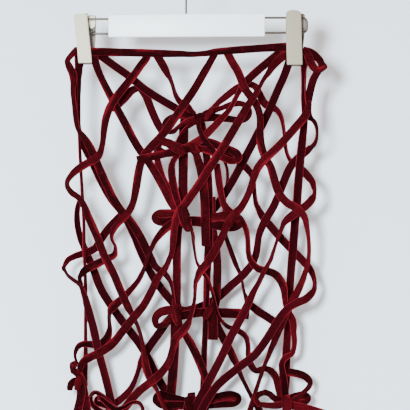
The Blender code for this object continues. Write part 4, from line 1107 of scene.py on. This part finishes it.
def stage_material(name, shade):
    """A dull pale finish that is clear from behind, so that it hides nothing from there."""
    made, tree, main = shader(name, {
        "Base Color": colour(shade), "Roughness": 0.9, "Specular IOR Level": 0.1})
    seen = tree.add("ShaderNodeNewGeometry")["Backfacing"]
    clear = tree.add("ShaderNodeBsdfTransparent")["BSDF"]
    joined = tree.add("ShaderNodeMixShader", None, {
        "Fac": seen, 1: Socket(tree, main.outputs["BSDF"]), 2: clear})["Shader"]
    tree.feed(made.node_tree.nodes["Material Output"], {"Surface": joined})
    return made


# ---------------------------------------------------------------- the stage

def add_sheet(name, corners, faces, finish):
    mesh = bpy.data.meshes.new(name)
    mesh.from_pydata(corners, [], faces)
    mesh.shade_smooth()
    mesh.materials.append(finish)
    stand(name, mesh)


def add_room(sizes):
    """A backdrop that stands close behind the hem and leans away above it, and a floor."""
    foot = place(0, HEM_ROW)[1]
    profile = []
    for z in (sizes.floor, *np.linspace(foot, 0.0, 24), 0.6, 2.0):
        share = max(1.0 - z / foot, 0.0)
        profile.append((sizes.wall_near + (sizes.wall_gap - sizes.wall_near) * share ** sizes.wall_bend, z))
    corners = [(x, depth, z) for depth, z in profile for x in (-ROOM, ROOM)]
    faces = [(i, i + 1, i + 3, i + 2) for i in range(0, len(corners) - 2, 2)]
    add_sheet("room_wall", corners, faces, stage_material("pale_wall", sizes.wall))
    ends = ((-ROOM, FLOOR_FRONT), (ROOM, FLOOR_FRONT), (ROOM, ROOM), (-ROOM, ROOM))
    corners = [(x, y, sizes.floor) for x, y in ends]
    add_sheet("room_floor", corners, [(0, 1, 2, 3)], stage_material("pale_floor", sizes.ground))


def add_lights(sizes):
    """Warm, even light from the room and a broad cool window in front, a little to the left."""
    world = bpy.data.worlds.new("soft_room")
    world.use_nodes = True
    room = world.node_tree.nodes["Background"].inputs
    room["Color"].default_value, room["Strength"].default_value = colour(sizes.room), sizes.room_strength
    bpy.context.scene.world = world
    light = bpy.data.lights.new("window", "AREA")
    light.shape, light.size = "DISK", sizes.window_size
    light.energy, light.color = sizes.window_power, sizes.window
    made = stand("window", light)
    made.location = WINDOW
    aim = Vector(WINDOW_AIM) - made.location
    made.rotation_euler = aim.to_track_quat("-Z", "Y").to_euler()


def add_camera(sizes):
    camera = bpy.data.cameras.new("camera")
    camera.lens, camera.sensor_width = sizes.lens, SENSOR
    camera.clip_start, camera.clip_end = 0.05, 50.0
    x, z = place(sizes.middle_across, sizes.middle_down)
    distance = sizes.view_span * GRID * camera.lens / camera.sensor_width
    made = stand("camera", camera)
    made.location = (x, -distance - FRONT_LAYER, z)
    made.rotation_euler = (math.radians(90), 0.0, 0.0)
    bpy.context.scene.camera = made


# ---------------------------------------------------------------- operators

class SKIRT_OT_front_ribbons(Operator):
    """Makes the ribbons of the front layer"""

    bl_idname = "skirt.front_ribbons"
    bl_label = "Front Ribbons"

    def execute(self, context):
        add_ribbons(FRONT_ROUTES, -1)
        return {"FINISHED"}


class SKIRT_OT_back_ribbons(Operator):
    """Makes the ribbons of the back layer"""

    bl_idname = "skirt.back_ribbons"
    bl_label = "Back Ribbons"

    def execute(self, context):
        add_ribbons(BACK_ROUTES, 1)
        return {"FINISHED"}


class SKIRT_OT_round_ribbons(Operator):
    """Makes the ribbons that come round the side from the back to the front"""

    bl_idname = "skirt.round_ribbons"
    bl_label = "Ribbons Round the Side"

    def execute(self, context):
        add_ribbons(ROUND_ROUTES, 1)
        return {"FINISHED"}


class SKIRT_OT_bows(Operator):
    """Makes the loops, tails and knots of the bows"""

    bl_idname = "skirt.bows"
    bl_label = "Bows"

    def execute(self, context):
        add_ribbons(BOW_ROUTES, -1)
        return {"FINISHED"}


class SKIRT_OT_knots(Operator):
    """Makes the gathered knots that hold the bows, and the short folds beside them"""

    bl_idname = "skirt.knots"
    bl_label = "Knots"

    def execute(self, context):
        for row in KNOTS:
            add_knot(Knot(*row))
        for fold in FOLDS:
            add_fold(fold)
        return {"FINISHED"}


class SKIRT_OT_waist(Operator):
    """Makes the waist ribbon, one ring from the front round to the back"""

    bl_idname = "skirt.waist"
    bl_label = "Waist Ribbon"

    def execute(self, context):
        sizes = context.scene.skirt_ribbon
        front, front_half = chained("waist_front")
        back, back_half = chained("waist_back")
        if front[0][0] > front[-1][0]:
            front, front_half = front[::-1], front_half[::-1]
        if back[0][0] < back[-1][0]:
            back, back_half = back[::-1], back_half[::-1]
        if np.dot(front_half[-1], back_half[0]) < 0:
            back_half = -back_half
        # It turns behind the right clip and is held there out of sight.
        for row in (*front, *back):
            row[0] = min(row[0], place(WAIST_TURN, 0)[0])
        made, length = sweep_ribbon(
            "ribbon_waist", np.vstack([front, back]), np.vstack([front_half, back_half]), sizes.width, 1, -1,
            (0.25,), closed=True)
        dress_cloth(made, ("waist_front", "waist_back"))
        return {"FINISHED"}


class SKIRT_OT_clips(Operator):
    """Makes the hanger's two clips"""

    bl_idname = "skirt.clips"
    bl_label = "Clips"

    def execute(self, context):
        for clip in CLIPS:
            add_clip(clip)
        return {"FINISHED"}


class SKIRT_OT_hanger(Operator):
    """Makes the hanger's bar, its hook and the two rails that the clips ride on"""

    bl_idname = "skirt.hanger"
    bl_label = "Hanger"

    def execute(self, context):
        add_bar()
        add_hook()
        for rail in RAILS:
            add_rail(*rail)
        return {"FINISHED"}


class SKIRT_OT_stage(Operator):
    """Makes the room, the light and the camera"""

    bl_idname = "skirt.stage"
    bl_label = "Stage"

    def execute(self, context):
        sizes = context.scene.skirt_stage
        add_room(sizes)
        add_lights(sizes)
        add_camera(sizes)
        return {"FINISHED"}


class SKIRT_PT_panel(Panel):
    """Lists what makes the skirt"""

    bl_idname = "SKIRT_PT_panel"
    bl_label = "Ribbon Skirt"
    bl_space_type = "VIEW_3D"
    bl_region_type = "UI"
    bl_category = "Ribbon Skirt"

    def draw(self, context):
        scene = context.scene
        for group in (scene.skirt_ribbon, scene.skirt_velvet, scene.skirt_hanger, scene.skirt_stage):
            box = self.layout.box()
            for key in group.__annotations__:
                box.prop(group, key)
        for operator in OPERATORS:
            self.layout.operator(operator.bl_idname)


OPERATORS = (
    SKIRT_OT_front_ribbons, SKIRT_OT_back_ribbons, SKIRT_OT_round_ribbons, SKIRT_OT_bows,
    SKIRT_OT_knots, SKIRT_OT_waist, SKIRT_OT_clips, SKIRT_OT_hanger, SKIRT_OT_stage,
)
GROUPS = (
    ("skirt_ribbon", RibbonSizes), ("skirt_velvet", VelvetLooks), ("skirt_hanger", HangerLooks),
    ("skirt_stage", StageSizes),
)


def register():
    for key, group in GROUPS:
        bpy.utils.register_class(group)
        setattr(bpy.types.Scene, key, PointerProperty(type=group))
    for item in (*OPERATORS, SKIRT_PT_panel):
        bpy.utils.register_class(item)


def unregister():
    for item in reversed((*OPERATORS, SKIRT_PT_panel)):
        bpy.utils.unregister_class(item)
    for key, group in reversed(GROUPS):
        delattr(bpy.types.Scene, key)
        bpy.utils.unregister_class(group)


def main():
    register()
    bpy.ops.skirt.front_ribbons()
    bpy.ops.skirt.back_ribbons()
    bpy.ops.skirt.round_ribbons()
    bpy.ops.skirt.bows()
    bpy.ops.skirt.knots()
    bpy.ops.skirt.waist()
    bpy.ops.skirt.clips()
    bpy.ops.skirt.hanger()
    bpy.ops.skirt.stage()
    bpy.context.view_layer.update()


if __name__ == "__main__":
    main()
